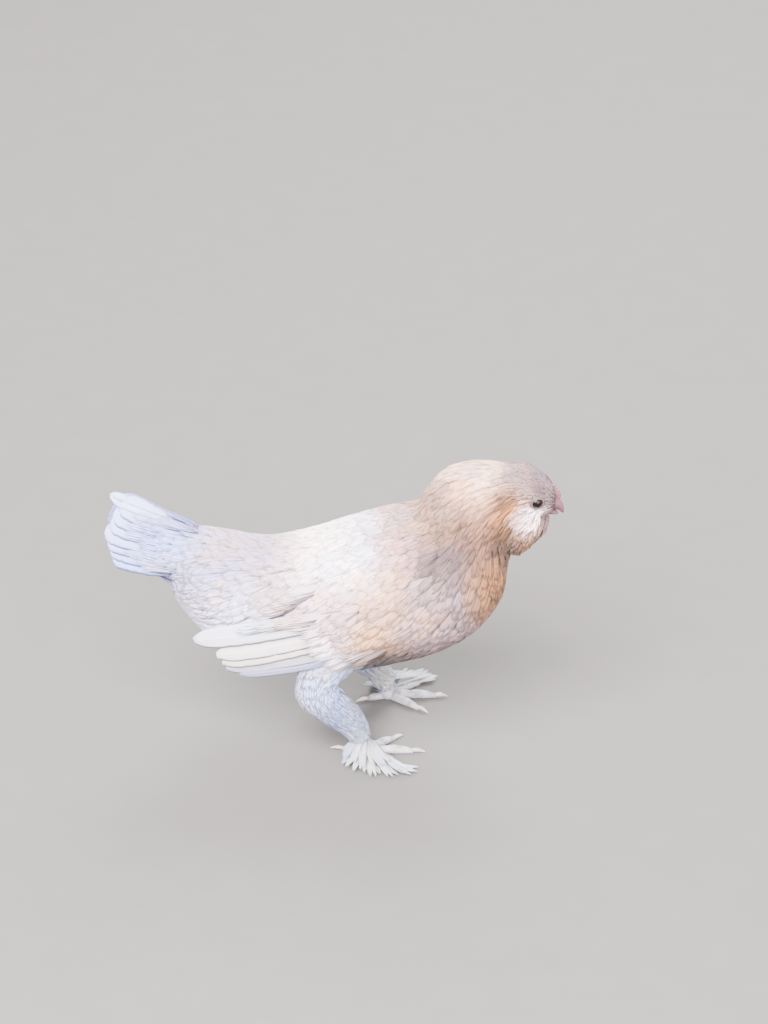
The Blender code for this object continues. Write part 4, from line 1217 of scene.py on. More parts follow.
@dataclass
class Coat:
    """The small feathers of the whole body, which grow from the skin.

    They part round the bill, lie back from it by the share `from_bill` and point down on the
    breast. None grow within the reach of the spots of `bare`, below `lowest`, or under the folded
    wings, between the values of `folded`. Places are in centimetres.
    """

    skin: bpy.types.Object
    regions: list[Region]
    seed: int = 5
    crowding: float = 7.0
    sharpness: float = 9.0
    bill: tuple[float, float, float] = (12.4, 0.0, 15.2)
    from_bill: float = 0.75
    breast: tuple[float, float, float] = (4.0, 8.5, 0.9)
    stiff: float = 0.45
    lowest: float = 0.75
    folded: tuple[tuple[float, float], ...] = ((-4.4, -1.2), (4.4, 99.0), (6.4, 10.4))
    bare: tuple[tuple[float, float, float, float], ...] = (
        (10.85, 1.4, 15.72, 0.36),
        (12.1, 0.0, 15.0, 0.62),
        (11.75, 0.0, 16.35, 0.25),
        (12.05, 0.0, 15.95, 0.32),
    )
    kinds: dict[str, Tuft] = field(default_factory=lambda: {
        "coat_body": BODY_TUFT, "coat_hackle": HACKLE_TUFT, "coat_head": FACE_TUFT,
        "coat_beard": DOWN_TUFT, "coat_rump": BODY_TUFT, "coat_wing": BODY_TUFT,
        "coat_legs": FLUFF_TUFT,
    })
    slots: dict[str, str] = field(default_factory=lambda: {
        "coat_body": "body_feathers", "coat_hackle": "hackle_feathers",
        "coat_head": "head_feathers", "coat_beard": "beard_feathers",
        "coat_rump": "tail_feathers", "coat_wing": "wing_feathers", "coat_legs": "leg_feathers",
    })

    def __post_init__(self) -> None:
        """Reads the skin into a search tree."""
        mesh = self.skin.data
        mesh.calc_loop_triangles()
        self.points = read_points(mesh)
        triangles = np.zeros(len(mesh.loop_triangles) * 3, np.int32)
        mesh.loop_triangles.foreach_get("vertices", triangles)
        self.triangles = triangles.reshape(-1, 3)
        self.tree = BVHTree.FromPolygons(self.points.tolist(), self.triangles.tolist())
        corner = self.points[self.triangles]
        cross = np.cross(corner[:, 1] - corner[:, 0], corner[:, 2] - corner[:, 0])
        smooth = np.zeros_like(self.points)
        for i in range(3):
            np.add.at(smooth, self.triangles[:, i], cross)
        self.normals = unit(unit(smooth)[self.triangles].sum(axis=1))

    def weigh(self, points: np.ndarray) -> tuple[np.ndarray, np.ndarray]:
        """Reads the regions at some points.

        Args:
            points: Rows of points in centimetres.

        Returns:
            The share of each region, and the blended lie of the feathers.
        """
        near, flows = [], []
        for region in self.regions:
            distance, flow = region.flow(points)
            near.append(distance)
            flows.append(flow)
        near = np.array(near)
        weight = np.exp(-self.sharpness * (near - near.min(axis=0)))
        weight /= weight.sum(axis=0)
        flow = np.einsum("rn,rnd->nd", weight, np.array(flows))
        bill = unit(points - np.array(self.bill))
        head = weight[2][:, None]
        parted = self.from_bill * bill + (1 - self.from_bill) * flow
        flow = flow * (1 - head) + parted * head
        rear, front, fall = self.breast
        flow[:, 2] -= smooth_step(rear, front, points[:, 0]) * weight[0] * fall
        return weight, unit(flow)

    def roots(self, draw: np.random.Generator) -> tuple[np.ndarray, np.ndarray]:
        """Spreads roots evenly over the skin.

        Args:
            draw: The source of chance.

        Returns:
            The roots in metres and the outward normals there.
        """
        corner = self.points[self.triangles]
        cross = np.cross(corner[:, 1] - corner[:, 0], corner[:, 2] - corner[:, 0])
        area = np.linalg.norm(cross, axis=1) / 2
        weight, _ = self.weigh(BODY.read(corner.mean(axis=1)))
        spacing = weight.T @ np.array([region.spacing for region in self.regions]) * MM
        wanted = area / spacing**2
        total = int(wanted.sum() * self.crowding)
        pick = draw.choice(len(area), total, p=wanted / wanted.sum())
        a, b = draw.random((2, total, 1))
        over = (a + b) > 1
        a, b = np.where(over, 1 - a, a), np.where(over, 1 - b, b)
        chosen = corner[pick]
        spots = chosen[:, 0] + (chosen[:, 1] - chosen[:, 0]) * a + (chosen[:, 2] - chosen[:, 0]) * b
        tree = KDTree(total)
        for i, spot in enumerate(spots):
            tree.insert(spot, i)
        tree.balance()
        alive = np.ones(total, bool)
        kept = []
        for i in range(total):
            if not alive[i]:
                continue
            kept.append(i)
            for _, other, _ in tree.find_range(spots[i], spacing[pick[i]]):
                alive[other] = False
        kept = np.array(kept)
        normals = unit(cross[pick[kept]])
        return spots[kept], normals

    def trace(
        self, roots: np.ndarray, lengths: np.ndarray, rises: np.ndarray, shares: np.ndarray,
        stiff: float, unrest: np.ndarray, draw: np.random.Generator,
    ) -> tuple[np.ndarray, np.ndarray, np.ndarray]:
        """Lays the middle lines of feathers along the lie of the coat.

        Args:
            roots: Where they start, in metres.
            lengths: Their lengths in metres.
            rises: The height of their tips over the skin in metres.
            shares: Where the points of a line lie along it.
            stiff: How little a line bends with the skin, from 0 to 1.
            unrest: How far each one strays from the lie, as a share.
            draw: The source of chance.

        Returns:
            Lines, normals and sides, one block per feather.
        """
        count = len(roots)
        stray = draw.normal(0, 1, (count, 3)) * unrest[:, None]
        lines, normals, sides = [], [], []
        here = roots.copy()
        before = None
        for share, stride in zip(shares, np.diff(shares, append=1.0)):
            found = [self.tree.find_nearest(point) for point in here]
            foot = np.array([hit[0] for hit in found])
            out = self.normals[[hit[2] for hit in found]]
            height = np.sum((here - foot) * out, axis=1, keepdims=True)
            wanted = (rises * share * (1.4 - 0.4 * share))[:, None] + 0.2 * MM
            slack = np.where(height > wanted, 1 - stiff, 1.0)
            here = here + out * (wanted - height) * slack
            _, flow = self.weigh(BODY.read(foot))
            heading = unit(flow + stray)
            heading = unit(heading - out * np.sum(heading * out, axis=1, keepdims=True))
            if before is not None:
                heading = unit(heading * (1 - 0.5 * stiff) + before * 0.5 * stiff)
            lines.append(here)
            normals.append(out)
            sides.append(unit(np.cross(heading, out)))
            before = heading
            here = here + heading * (lengths * stride)[:, None]
        stacked = [np.stack(rows, axis=1) for rows in (lines, normals, sides)]
        return stacked[0], stacked[1], stacked[2]

    def atlas(self, points: np.ndarray, owner: np.ndarray) -> np.ndarray:
        """The roots' places on an unwrap of the body's forms.

        Args:
            points: Rows of points in centimetres.
            owner: The region of each point.

        Returns:
            Rows of map coordinates.
        """
        out = np.zeros((len(points), 2))
        for i, region in enumerate(self.regions):
            own = owner == i
            if not own.any():
                continue
            centres, _, side, up, _, _ = region.form.sections()
            _, _, share = region.form.nearness(points[own])
            row = np.round(share * (region.form.rings - 1)).astype(int)
            apart = points[own] - centres[row]
            angle = np.arctan2(
                np.sum(apart * side[row], axis=1), np.sum(apart * up[row], axis=1)
            )
            left, low, wide, high = region.atlas
            out[own, 0] = left + wide * share
            out[own, 1] = low + high * (angle / (2 * math.pi) + 0.5)
        return out

    def build(self) -> list[bpy.types.Object]:
        """Grows the coat, region by region.

        Returns:
            The pieces of the coat.
        """
        draw = np.random.default_rng(self.seed)
        roots, normals = self.roots(draw)
        where = BODY.read(roots)
        clear = np.ones(len(roots), bool)
        for x, y, z, reach in self.bare:
            for sign in (-1, 1):
                clear &= np.linalg.norm(where - np.array([x, sign * y, z]), axis=1) > reach
        clear &= where[:, 2] > self.lowest
        spot = np.stack([where[:, 0], np.abs(where[:, 1]), where[:, 2]])
        low, high = np.array(self.folded).T[:, :, None]
        clear &= ~((spot > low) & (spot < high)).all(axis=0)
        roots, where = roots[clear], where[clear]
        weight, _ = self.weigh(where)
        owner = np.argmax(weight, axis=0)
        values = {
            key: weight.T @ np.array([getattr(region, key) for region in self.regions])
            for key in ("length", "half_width", "rise", "unrest")
        }
        grown = []
        for piece, tuft in self.kinds.items():
            own = np.array([self.regions[i].piece == piece for i in owner])
            many = int(own.sum())
            vary = draw.uniform(0.78, 1.2, (2, many))
            lengths = values["length"][own] * vary[0] * MM
            rises = values["rise"][own] * (0.7 + 0.3 * vary[0]) * MM
            lines, out, sides = self.trace(
                roots[own], lengths, rises, BARB.shares, self.stiff, values["unrest"][own], draw
            )
            colours = MARKINGS.colours(BODY.read(lines[:, -2]))
            colours *= draw.uniform(0.93, 1.07, (many, 1)) * draw.uniform(0.97, 1.03, (many, 3))
            plumes = Plumes(
                BARB, lines, out, sides, values["half_width"][own] * vary[1] * MM,
                self.atlas(where[own], owner[own]), np.clip(colours, 0, 1), self.seed,
            )
            grown += self.split(piece, plumes.parted(tuft))
            log.info("%s: %d feathers of %d barbs", piece, many, tuft.barbs)
        return grown

    def split(self, piece: str, plumes: Plumes, most: int = 190_000) -> list[bpy.types.Object]:
        """Makes one piece, or several where it would hold too many triangles.

        Args:
            piece: The name of the piece.
            plumes: Its feathers.
            most: How many triangles a piece may hold.

        Returns:
            The pieces.
        """
        each = sum(len(face) - 2 for face in plumes.vane.faces())
        parts = math.ceil(len(plumes.lines) * each / most)
        made = []
        for i, rows in enumerate(np.array_split(np.argsort(plumes.lines[:, 0, 0]), parts)):
            share = Plumes(
                plumes.vane, plumes.lines[rows], plumes.normals[rows], plumes.sides[rows],
                plumes.half_widths[rows], plumes.roots_uv[rows], plumes.colours[rows], i,
            )
            obj = share.build(piece if parts == 1 else f"{piece}_{i + 1}")
            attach(obj, "root")
            made.append(obj)
        return made


# Large feathers

@dataclass
class Quills:
    """Large feathers that are placed one by one on a mapped sheet.

    Those of the kind BARB are soft and part into barbs as `tuft` says.
    """

    name: str
    slot: str
    finish: FeatherFinish
    atlas: tuple[float, float, float, float]
    tuft: Tuft = COVERT_TUFT
    rows: list[tuple] = field(default_factory=list)

    def add(
        self, place: Callable[[np.ndarray, np.ndarray, np.ndarray], np.ndarray],
        start: Sequence[float], end: Sequence[float], half_width: float,
        lifts: tuple[float, float], tilt: float, bow: float, vane: Vane,
    ) -> None:
        """Adds one feather.

        Args:
            place: The map from two distances and a height to a point, in centimetres.
            start: Its root on the map.
            end: Its tip on the map.
            half_width: Half its width.
            lifts: The heights of root and tip over the sheet.
            tilt: How much higher its upper edge stands than its shaft.
            bow: How far its middle lies aside.
            vane: Its kind.
        """
        t = vane.shares
        first, last = np.array(start, float), np.array(end, float)
        run = last - first
        across = np.array([-run[1], run[0]]) / np.linalg.norm(run)
        spots = first + run * t[:, None] + across * (bow * 4 * t * (1 - t))[:, None]
        heights = lifts[0] + (lifts[1] - lifts[0]) * t
        line = place(spots[:, 0], spots[:, 1], heights)
        edge = 0.3 * half_width
        aside = place(
            spots[:, 0] + across[0] * edge, spots[:, 1] + across[1] * edge, heights + tilt * 0.3
        )
        above = place(spots[:, 0], spots[:, 1], heights + 0.1)
        sides = unit(aside - line)
        out = unit(above - line)
        out = unit(out - sides * np.sum(out * sides, axis=1, keepdims=True))
        self.rows.append((vane, line, out, sides, half_width))

    def build(self, most: int = 190_000) -> list[bpy.types.Object]:
        """Makes the feathers, one piece for each kind.

        Args:
            most: Not used.

        Returns:
            The pieces.
        """
        pieces = []
        kinds = list(dict.fromkeys(row[0] for row in self.rows))
        material = self.finish.make()
        for number, vane in enumerate(kinds):
            own = [row for row in self.rows if row[0] == vane]
            lines = BODY.place(np.array([row[1] for row in own]))
            colours = MARKINGS.colours(np.array([row[1][len(row[1]) * 2 // 3] for row in own]))
            left, low, wide, high = self.atlas
            share = np.arange(len(own)) / len(own)
            row = np.full(len(own), low + high * (number + 0.5) / len(kinds))
            uv = np.stack([left + wide * share, row], axis=1)
            plumes = Plumes(
                vane, lines, np.array([row[2] for row in own]), np.array([row[3] for row in own]),
                np.array([row[4] for row in own]) * CM, uv, colours, number + 3,
            )
            if vane is BARB:
                plumes = plumes.parted(self.tuft)
            obj = plumes.build(f"{self.name}_{number + 1}")
            flip_inward(obj)
            obj.data.materials.append(material)
            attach(obj, "root")
            pieces.append(obj)
            log.info("%s: %d feathers", obj.name, len(own))
        return pieces


def flip_inward(obj: bpy.types.Object) -> None:
    """Turns the faces outwards where a closed mesh is inside out.

    Args:
        obj: The object.
    """
    bm = bmesh.new()
    bm.from_mesh(obj.data)
    if bm.calc_volume(signed=True) < 0:
        bmesh.ops.reverse_faces(bm, faces=bm.faces)
        bm.to_mesh(obj.data)
    bm.free()


def between(ends: Sequence[Sequence[float]] | Sequence[float], share: float) -> np.ndarray:
    """A value or a point part of the way between two."""
    first, last = np.array(ends[0], float), np.array(ends[1], float)
    return first + (last - first) * share


@dataclass
class Wing:
    """The large feathers of one folded wing."""

    side: Side
    sheet: Rows = (
        (-11.0, 0, 9.3, 5.3, 4.1),
        (-9.0, 0, 9.1, 5.3, 4.45),
        (-6.0, 0, 8.95, 5.1, 4.85),
        (-3.0, 0, 9.0, 5.0, 5.1),
        (0.0, 0, 9.3, 4.9, 5.2),
        (3.0, 0, 9.9, 4.9, 5.15),
        (5.5, 0, 10.6, 4.8, 4.8),
    )
    bands: Rows = (
        ((0.6, 10.7), (0.6, 10.7), (-8.9, 8.75), (-8.9, 8.75), 0.24, 0.12, 0.7, 1),
        ((0.4, 9.7), (0.4, 9.3), (-7.5, 7.75), (-7.2, 7.2), 0.14, 0.1, 0.7, 2),
        ((0.6, 8.2), (0.8, 7.5), (-7.0, 6.55), (-6.3, 6.05), 0.03, 0.12, 0.66, 2),
    )
    tilt: float = 0.07
    sunk: float = 0.5
    covert_rows: Rows = (
        ((-0.2, 10.4), (1.8, 8.0), (-3.4, 9.8), (-1.5, 6.7), 7, (-0.3, 0.32), 0.62),
        ((1.2, 10.3), (2.8, 8.2), (-1.6, 9.6), (-0.2, 7.0), 7, (-0.4, 0.3), 0.58),
    )
    covert_tilt: float = 0.04
    covert_bow: float = 0.12
    tertials: Rows = ((-3.4, 10.1), (-6.6, 9.45))
    tertial_run: tuple[float, float] = (3.6, 0.75)
    tertial_lifts: tuple[float, float] = (-0.2, 0.36)
    tertial_shape: tuple[float, float, float] = (0.5, 0.03, 0.1)
    high_tertials: Rows = ((-0.9, 12.3), (-3.7, 11.5), (-5.6, 10.1))
    high_lifts: tuple[float, float, float] = (-0.95, -0.4, 0.05)

    def place(self, x: np.ndarray, z: np.ndarray, lift: np.ndarray) -> np.ndarray:
        """The sheet beside the body that a folded wing lies on.

        Args:
            x: How far to the front the points lie, in centimetres.
            z: How high they lie.
            lift: How far they stand off the sheet.

        Returns:
            The points.
        """
        rows = smooth_rows(self.sheet, 24)
        centre, half_up, half_side = (np.interp(x, rows[:, 0], rows[:, i]) for i in (2, 3, 4))
        rise = np.clip((z - centre) / half_up, -0.95, 0.95)
        y = half_side * np.sqrt(1 - rise**2)
        slope = (np.zeros_like(y), y / half_side**2, (z - centre) / half_up**2)
        out = unit(np.stack(slope, axis=-1))
        spot = np.stack([x, y, z], axis=-1) + out * np.asarray(lift)[..., None]
        spot[..., 1] *= self.side.value
        return spot

    def build(self) -> list[bpy.types.Object]:
        """Lays the flight feathers and their coverts.

        Returns:
            The pieces.
        """
        draw = np.random.default_rng(51)
        left = 0.34 if self.side is Side.RIGHT else 0.72
        quills = Quills(
            f"wing_feathers_{self.side.word}", "wing_feathers",
            # The last value, below zero, darkens the rims of the flight feathers: painted shade
            # between them.
            FeatherFinish(f"wing_{self.side.word}_finish", 260.0, 0.55, 0.3, 0.5, -0.05),
            (left, 0.0, 0.2, 0.018),
        )
        for top, low, top_tip, low_tip, lift, bow, width, count in self.bands:
            for i in range(count):
                share = i / max(count - 1, 1)
                tip = between((top_tip, low_tip), share) + [draw.uniform(-0.08, 0.08), 0.0]
                root = between((top, low), share)
                lifts = (lift - self.sunk, lift)
                quills.add(self.place, root, tip, width, lifts, self.tilt, bow, FLIGHT)
        for top, low, top_tip, low_tip, count, lifts, width in self.covert_rows:
            for i in range(count):
                share = i / (count - 1)
                tip = between((top_tip, low_tip), share) + [draw.uniform(-0.3, 0.3), 0.0]
                quills.add(
                    self.place, between((top, low), share), tip, width, lifts, self.covert_tilt,
                    self.covert_bow, BARB,
                )
        half, tilt, bow = self.tertial_shape
        for i in range(4):
            tip = between(self.tertials, i / 3)
            root = tip + self.tertial_run
            quills.add(self.place, root, tip, half, self.tertial_lifts, tilt, bow, BARB)
        if self.side is Side.RIGHT:
            start, first, last = self.high_tertials
            deep, low_lift, more = self.high_lifts
            for i in range(5):
                tip = between((first, last), i / 4)
                root = tip + (np.array(start) - first) * 0.95
                lifts = (deep, low_lift + more * i)
                quills.add(self.place, root, tip, half, lifts, tilt, bow, BARB)
        return quills.build()


@dataclass
class Tail:
    """The flight feathers of the tail and their coverts on both sides."""

    ridge: tuple[float, float, float] = (-9.25, 14.25, 0.5)
    ridge_half: float = 0.3
    roof: Rows = ((9.5, 0.12), (13.5, 0.3))
    feathers: int = 7
    roots: Rows = ((-9.7, 13.5), (-10.0, 11.15))
    tip_z: Sequence[float] = (15.45, 12.65)
    tip_x: float = -13.8
    roof_feathers: Rows = ((-9.6, 0.1), (-13.6, 0.14))
    roof_coverts: Rows = (((-8.9, 0.12), (-11.6, 0.16), 0.12), ((-8.6, 0.3), (-10.9, 0.5), 0.2))
    rounding: float = 2.2
    longest: float = 0.6
    fan_half: float = 0.8
    fan_tilt: float = 0.18
    roof_half: float = 0.62
    roof_covert_half: float = 0.5
    roof_fall: tuple[float, float, float] = (0.86, 0.6, 0.3)
    under_half: float = 0.46
    belly: tuple[float, float, float] = (-9.7, 9.8, 0.65)
    under_count: int = 6
    under_rows: Rows = (
        (-9.5, -12.9, (-2.6, -2.3), 0.6), (-9.6, -12.8, (-1.6, -1.4), 0.8),
        (-9.7, -12.6, (-0.5, -0.45), 1.05), (-9.6, -11.8, (-0.4, -0.15), 1.05),
        (-9.4, -11.0, (-0.3, 0.15), 1.05),
    )
    covert_rows: Rows = (
        ((-9.9, 13.7), (-10.2, 11.5), (-12.9, 14.95), (-13.1, 12.45), 8, (0.0, 0.24), 0.5),
        ((-9.4, 13.6), (-9.7, 11.2), (-12.0, 14.6), (-12.2, 12.1), 9, (0.08, 0.32), 0.45),
        ((-8.9, 13.5), (-9.2, 11.0), (-11.2, 14.3), (-11.4, 11.8), 9, (0.12, 0.38), 0.42),
    )

    def map_of(self, side: Side) -> Callable[[np.ndarray, np.ndarray, np.ndarray], np.ndarray]:
        """The side of the tail, which falls away from the ridge like a steep roof.

        Args:
            side: Which side of the bird.

        Returns:
            The map from two distances and a height to a point.
        """
        x0, z0, slope = self.ridge

        def place(x: np.ndarray, z: np.ndarray, lift: np.ndarray) -> np.ndarray:
            """A point of the roof."""
            top = z0 + (x0 - x) * slope
            spread = np.interp(-x, [row[0] for row in self.roof], [row[1] for row in self.roof])
            drop = np.maximum(top - z, 0.0)
            size = np.hypot(1.0, spread)
            y = self.ridge_half + drop * spread + lift / size
            return np.stack([x, side.value * y, z + lift * spread / size], axis=-1)

        return place

    def over_ridge(
        self, side: Side
    ) -> Callable[[np.ndarray, np.ndarray, np.ndarray], np.ndarray]:
        """The top of the tail, where its middle feathers lie over both sides.

        Args:
            side: Which side of the bird.

        Returns:
            The map from two distances and a height to a point.
        """
        x0, z0, slope = self.ridge
        share, fall, drop = self.roof_fall

        def place(x: np.ndarray, y: np.ndarray, lift: np.ndarray) -> np.ndarray:
            """A point over the ridge."""
            z = z0 + (x0 - x) * slope * share - fall * np.abs(y) + lift - drop
            return np.stack([x, side.value * np.asarray(y), z], axis=-1)

        return place

    def under(self, side: Side) -> Callable[[np.ndarray, np.ndarray, np.ndarray], np.ndarray]:
        """The slope under the root of the tail; heights on it point down.

        Args:
            side: Which side of the bird.

        Returns:
            The map from two distances and a height to a point.
        """
        x0, z0, slope = self.belly

        def place(x: np.ndarray, y: np.ndarray, lift: np.ndarray) -> np.ndarray:
            """A point under the tail."""
            z = z0 + (x0 - x) * slope + 0.2 * np.abs(y) - lift
            return np.stack([x, side.value * np.asarray(y), z], axis=-1)

        return place

    def build(self) -> list[bpy.types.Object]:
        """Lays the fan and its coverts.

        Returns:
            The pieces.
        """
        pieces = []
        for side in Side:
            draw = np.random.default_rng(41 + side.value)
            quills = Quills(
                f"tail_feathers_{side.word}", "tail_feathers",
                # The last value, below zero, darkens the rims of the tail feathers: painted shade
                # between them.
                FeatherFinish(f"tail_{side.word}_finish", 240.0, 0.55, 0.3, 0.5, -0.07),
                (0.02 if side is Side.RIGHT else 0.12, 0.25, 0.09, 0.02),
            )
            place = self.map_of(side)
            for i in range(self.feathers):
                share = i / (self.feathers - 1)
                tip_x = self.tip_x + self.rounding * (share - self.longest) ** 2
                tip_x += draw.uniform(-0.1, 0.1)
                tip = (tip_x, float(between(self.tip_z, share)))
                quills.add(
                    place, between(self.roots, share), tip, self.fan_half, (0.0, 0.0),
                    self.fan_tilt, 0.0, FLIGHT,
                )
            for first_x, last_x, lifts, width in self.under_rows:
                for i in range(self.under_count):
                    y = width * (i + draw.uniform(0.3, 0.7)) / self.under_count
                    last = (last_x + draw.uniform(-0.4, 0.4), 0.7 * y)
                    quills.add(
                        self.under(side), (first_x, y), last, self.under_half, lifts, 0.0, 0.0, BARB
                    )
            start, end = self.roof_feathers
            roof = self.over_ridge(side)
            quills.add(roof, start, end, self.roof_half, (0.0, 0.0), 0.05, 0.0, FLIGHT)
            for start, end, lift in self.roof_coverts:
                quills.add(roof, start, end, self.roof_covert_half, (0.0, lift), 0.04, 0.0, BARB)
            for top, low, top_tip, low_tip, count, lifts, width in self.covert_rows:
                for i in range(count):
                    share = i / (count - 1)
                    tip = between((top_tip, low_tip), share)
                    tip[0] += draw.uniform(-0.6, 0.6) + 0.5 * math.sin(share * math.pi)
                    tip[1] += draw.uniform(-0.12, 0.12)
                    root = between((top, low), share)
                    quills.add(place, root, tip, width, lifts, 0.04, 0.0, BARB)
            pieces += quills.build()
        return pieces


# Head pieces

@dataclass
class Eye:
    """One eye with its two lids."""

    side: Side
    spot: tuple[float, float, float] = (10.85, 1.16, 15.72)
    radius: float = 0.365
    lid_turn: float = 17.0
    lid_out: float = 0.195
    lid_rings: Rows = ((0.335, 0.042, 0.01), (0.4, 0.06, -0.06))
    pupil: float = 0.24
    iris: float = 0.31

    def build(self) -> list[bpy.types.Object]:
        """Builds the eyeball and the rim of the lids.

        Returns:
            Both pieces.
        """
        x, y, z = self.spot
        middle = BODY.place((x, self.side.value * y, z))
        bm = bmesh.new()
        turn = Matrix.Rotation(math.pi / 2, 4, "X")
        bmesh.ops.create_uvsphere(
            bm, u_segments=48, v_segments=24, radius=self.radius * CM,
            matrix=Matrix.Translation(middle) @ turn,
        )
        ball = new_object(f"eye_ball_{self.side.word}", bm)
        finish = EyeFinish(
            f"eye_{self.side.word}_finish", tuple(middle), self.pupil * CM, self.iris * CM
        )
        ball.data.materials.append(finish.make())
        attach(ball, "root")
        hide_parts(f"eye_{self.side.word}")
        lids = self.lids()
        return [ball, lids]

    def lids(self) -> bpy.types.Object:
        """Spins the rings of the lids round the eye and pulls them to an almond.

        Returns:
            The piece.
        """
        x, y, z = self.spot
        turn = Matrix.Rotation(-self.side.value * math.radians(self.lid_turn), 4, "Z")
        out = turn @ Vector((0, self.side.value, 0))
        ball = Vector(BODY.place((x, self.side.value * y, z)))
        bm = bmesh.new()
        for reach, thick, lift in self.lid_rings:
            middle = ball + out * (self.lid_out + lift) * CM
            start = middle + turn @ Vector((reach * CM, 0, 0))
            rim = bmesh.ops.create_circle(
                bm, segments=10, radius=thick * CM, matrix=Matrix.Translation(start) @ turn
            )
            edges = list({edge for vertex in rim["verts"] for edge in vertex.link_edges})
            bmesh.ops.spin(
                bm, geom=rim["verts"] + edges, cent=middle, axis=turn @ Vector((0, 1, 0)),
                angle=2 * math.pi, steps=40, use_merge=True,
            )
        space = (Matrix.Translation(ball) @ turn).inverted()
        bmesh.ops.scale(bm, vec=(1.06, 1.0, 0.9), space=space, verts=bm.verts)
        bmesh.ops.recalc_face_normals(bm, faces=bm.faces)
        lids = new_object(f"lids_{self.side.word}", bm)
        finish = FleshFinish(
            f"lids_{self.side.word}_finish", linear(104, 82, 82), linear(74, 56, 56)
        )
        lids.data.materials.append(finish.make())
        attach(lids, "root")
        return lids


@dataclass
class Bill:
    """The two halves of the bill with the nostrils."""

    upper: Rows = (
        (11.2, 0, 15.3, 0.52, 0.5),
        (11.75, 0, 15.16, 0.47, 0.44),
        (12.1, 0, 14.96, 0.34, 0.32),
        (12.34, 0, 14.7, 0.2, 0.19),
        (12.46, 0, 14.42, 0.06, 0.06),
    )
    lower: Rows = (
        (11.2, 0, 14.78, 0.32, 0.4),
        (11.65, 0, 14.6, 0.26, 0.33),
        (11.92, 0, 14.48, 0.18, 0.23),
        (12.16, 0, 14.36, 0.08, 0.09),
    )
    nostril: tuple[float, float, float] = (11.86, 0.42, 15.24)
    nostril_size: tuple[float, float, float] = (0.13, 0.1, 0.05)

    def build(self) -> list[bpy.types.Object]:
        """Builds both halves and cuts the nostrils.

        Returns:
            Both pieces.
        """
        finish = HornFinish("bill_finish", linear(108, 74, 82), linear(80, 52, 60)).make()
        pieces = []
        for name, rows in (("beak_upper", self.upper), ("beak_lower", self.lower)):
            bm = bmesh.new()
            Form(rows, rings=18).add_to(bm, 28)
            bmesh.ops.recalc_face_normals(bm, faces=bm.faces)
            half = new_object(f"{name}_horn", bm)
            half.data.materials.append(finish)
            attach(half, "root")
            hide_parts(name)
            pieces.append(half)
        self.cut_nostrils(pieces[0])
        return pieces

    def cut_nostrils(self, half: bpy.types.Object) -> None:
        """Cuts the two slits out of the upper half.

        Args:
            half: The upper half.
        """
        x, y, z = self.nostril
        tools = []
        for side in Side:
            bm = bmesh.new()
            size = Matrix.Diagonal((*[value * CM for value in self.nostril_size], 1))
            spot = Matrix.Translation(BODY.place((x, side.value * y, z)))
            bmesh.ops.create_uvsphere(
                bm, u_segments=16, v_segments=10, radius=1, matrix=spot @ size
            )
            tools.append(new_object("nostril_tool", bm))
        for tool in tools:
            cut = half.modifiers.new("Nostril", "BOOLEAN")
            cut.operation = "DIFFERENCE"
            cut.solver = "EXACT"
            cut.object = tool
        apply_modifiers(half)
        for tool in tools:
            bpy.data.objects.remove(tool)


@dataclass
class Comb:
    """The small single comb with its low points."""

    x: float = 11.96
    z: float = 15.74
    lean: float = 64.0
    size: tuple[float, float, float] = (0.6, 0.1, 0.27)
    points: Rows = ((-0.4, 0.2), (-0.2, 0.27), (0.02, 0.3), (0.23, 0.26), (0.4, 0.18))
    point_radius: float = 0.1
    voxel: float = 0.22 * MM
    soften_rounds: int = 3

    def build(self) -> bpy.types.Object:
        """Unites the blade and its points.

        Returns:
            The piece.
        """
        place = Matrix.Translation(BODY.place((self.x, 0, self.z)))
        place = place @ Matrix.Rotation(math.radians(self.lean), 4, "Y")
        bm = bmesh.new()
        shapes = [((0.0, 0.0), self.size)]
        shapes += [((along, high * 0.6), (self.point_radius, self.size[1] * 0.8, high * 0.55))
                   for along, high in self.points]
        for (along, high), sizes in shapes:
            spot = Matrix.Translation(Vector((along, 0, high)) * CM)
            scale = Matrix.Diagonal((*[value * CM for value in sizes], 1))
            bmesh.ops.create_uvsphere(
                bm, u_segments=24, v_segments=16, radius=1, matrix=place @ spot @ scale
            )
        comb = new_object("comb_blade", bm)
        unite(comb, self.voxel, self.soften_rounds)
        comb.data.materials.append(
            FleshFinish("comb_finish", linear(124, 84, 90), linear(102, 64, 72)).make()
        )
        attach(comb, "root")
        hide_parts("comb")
        return comb


# Feet

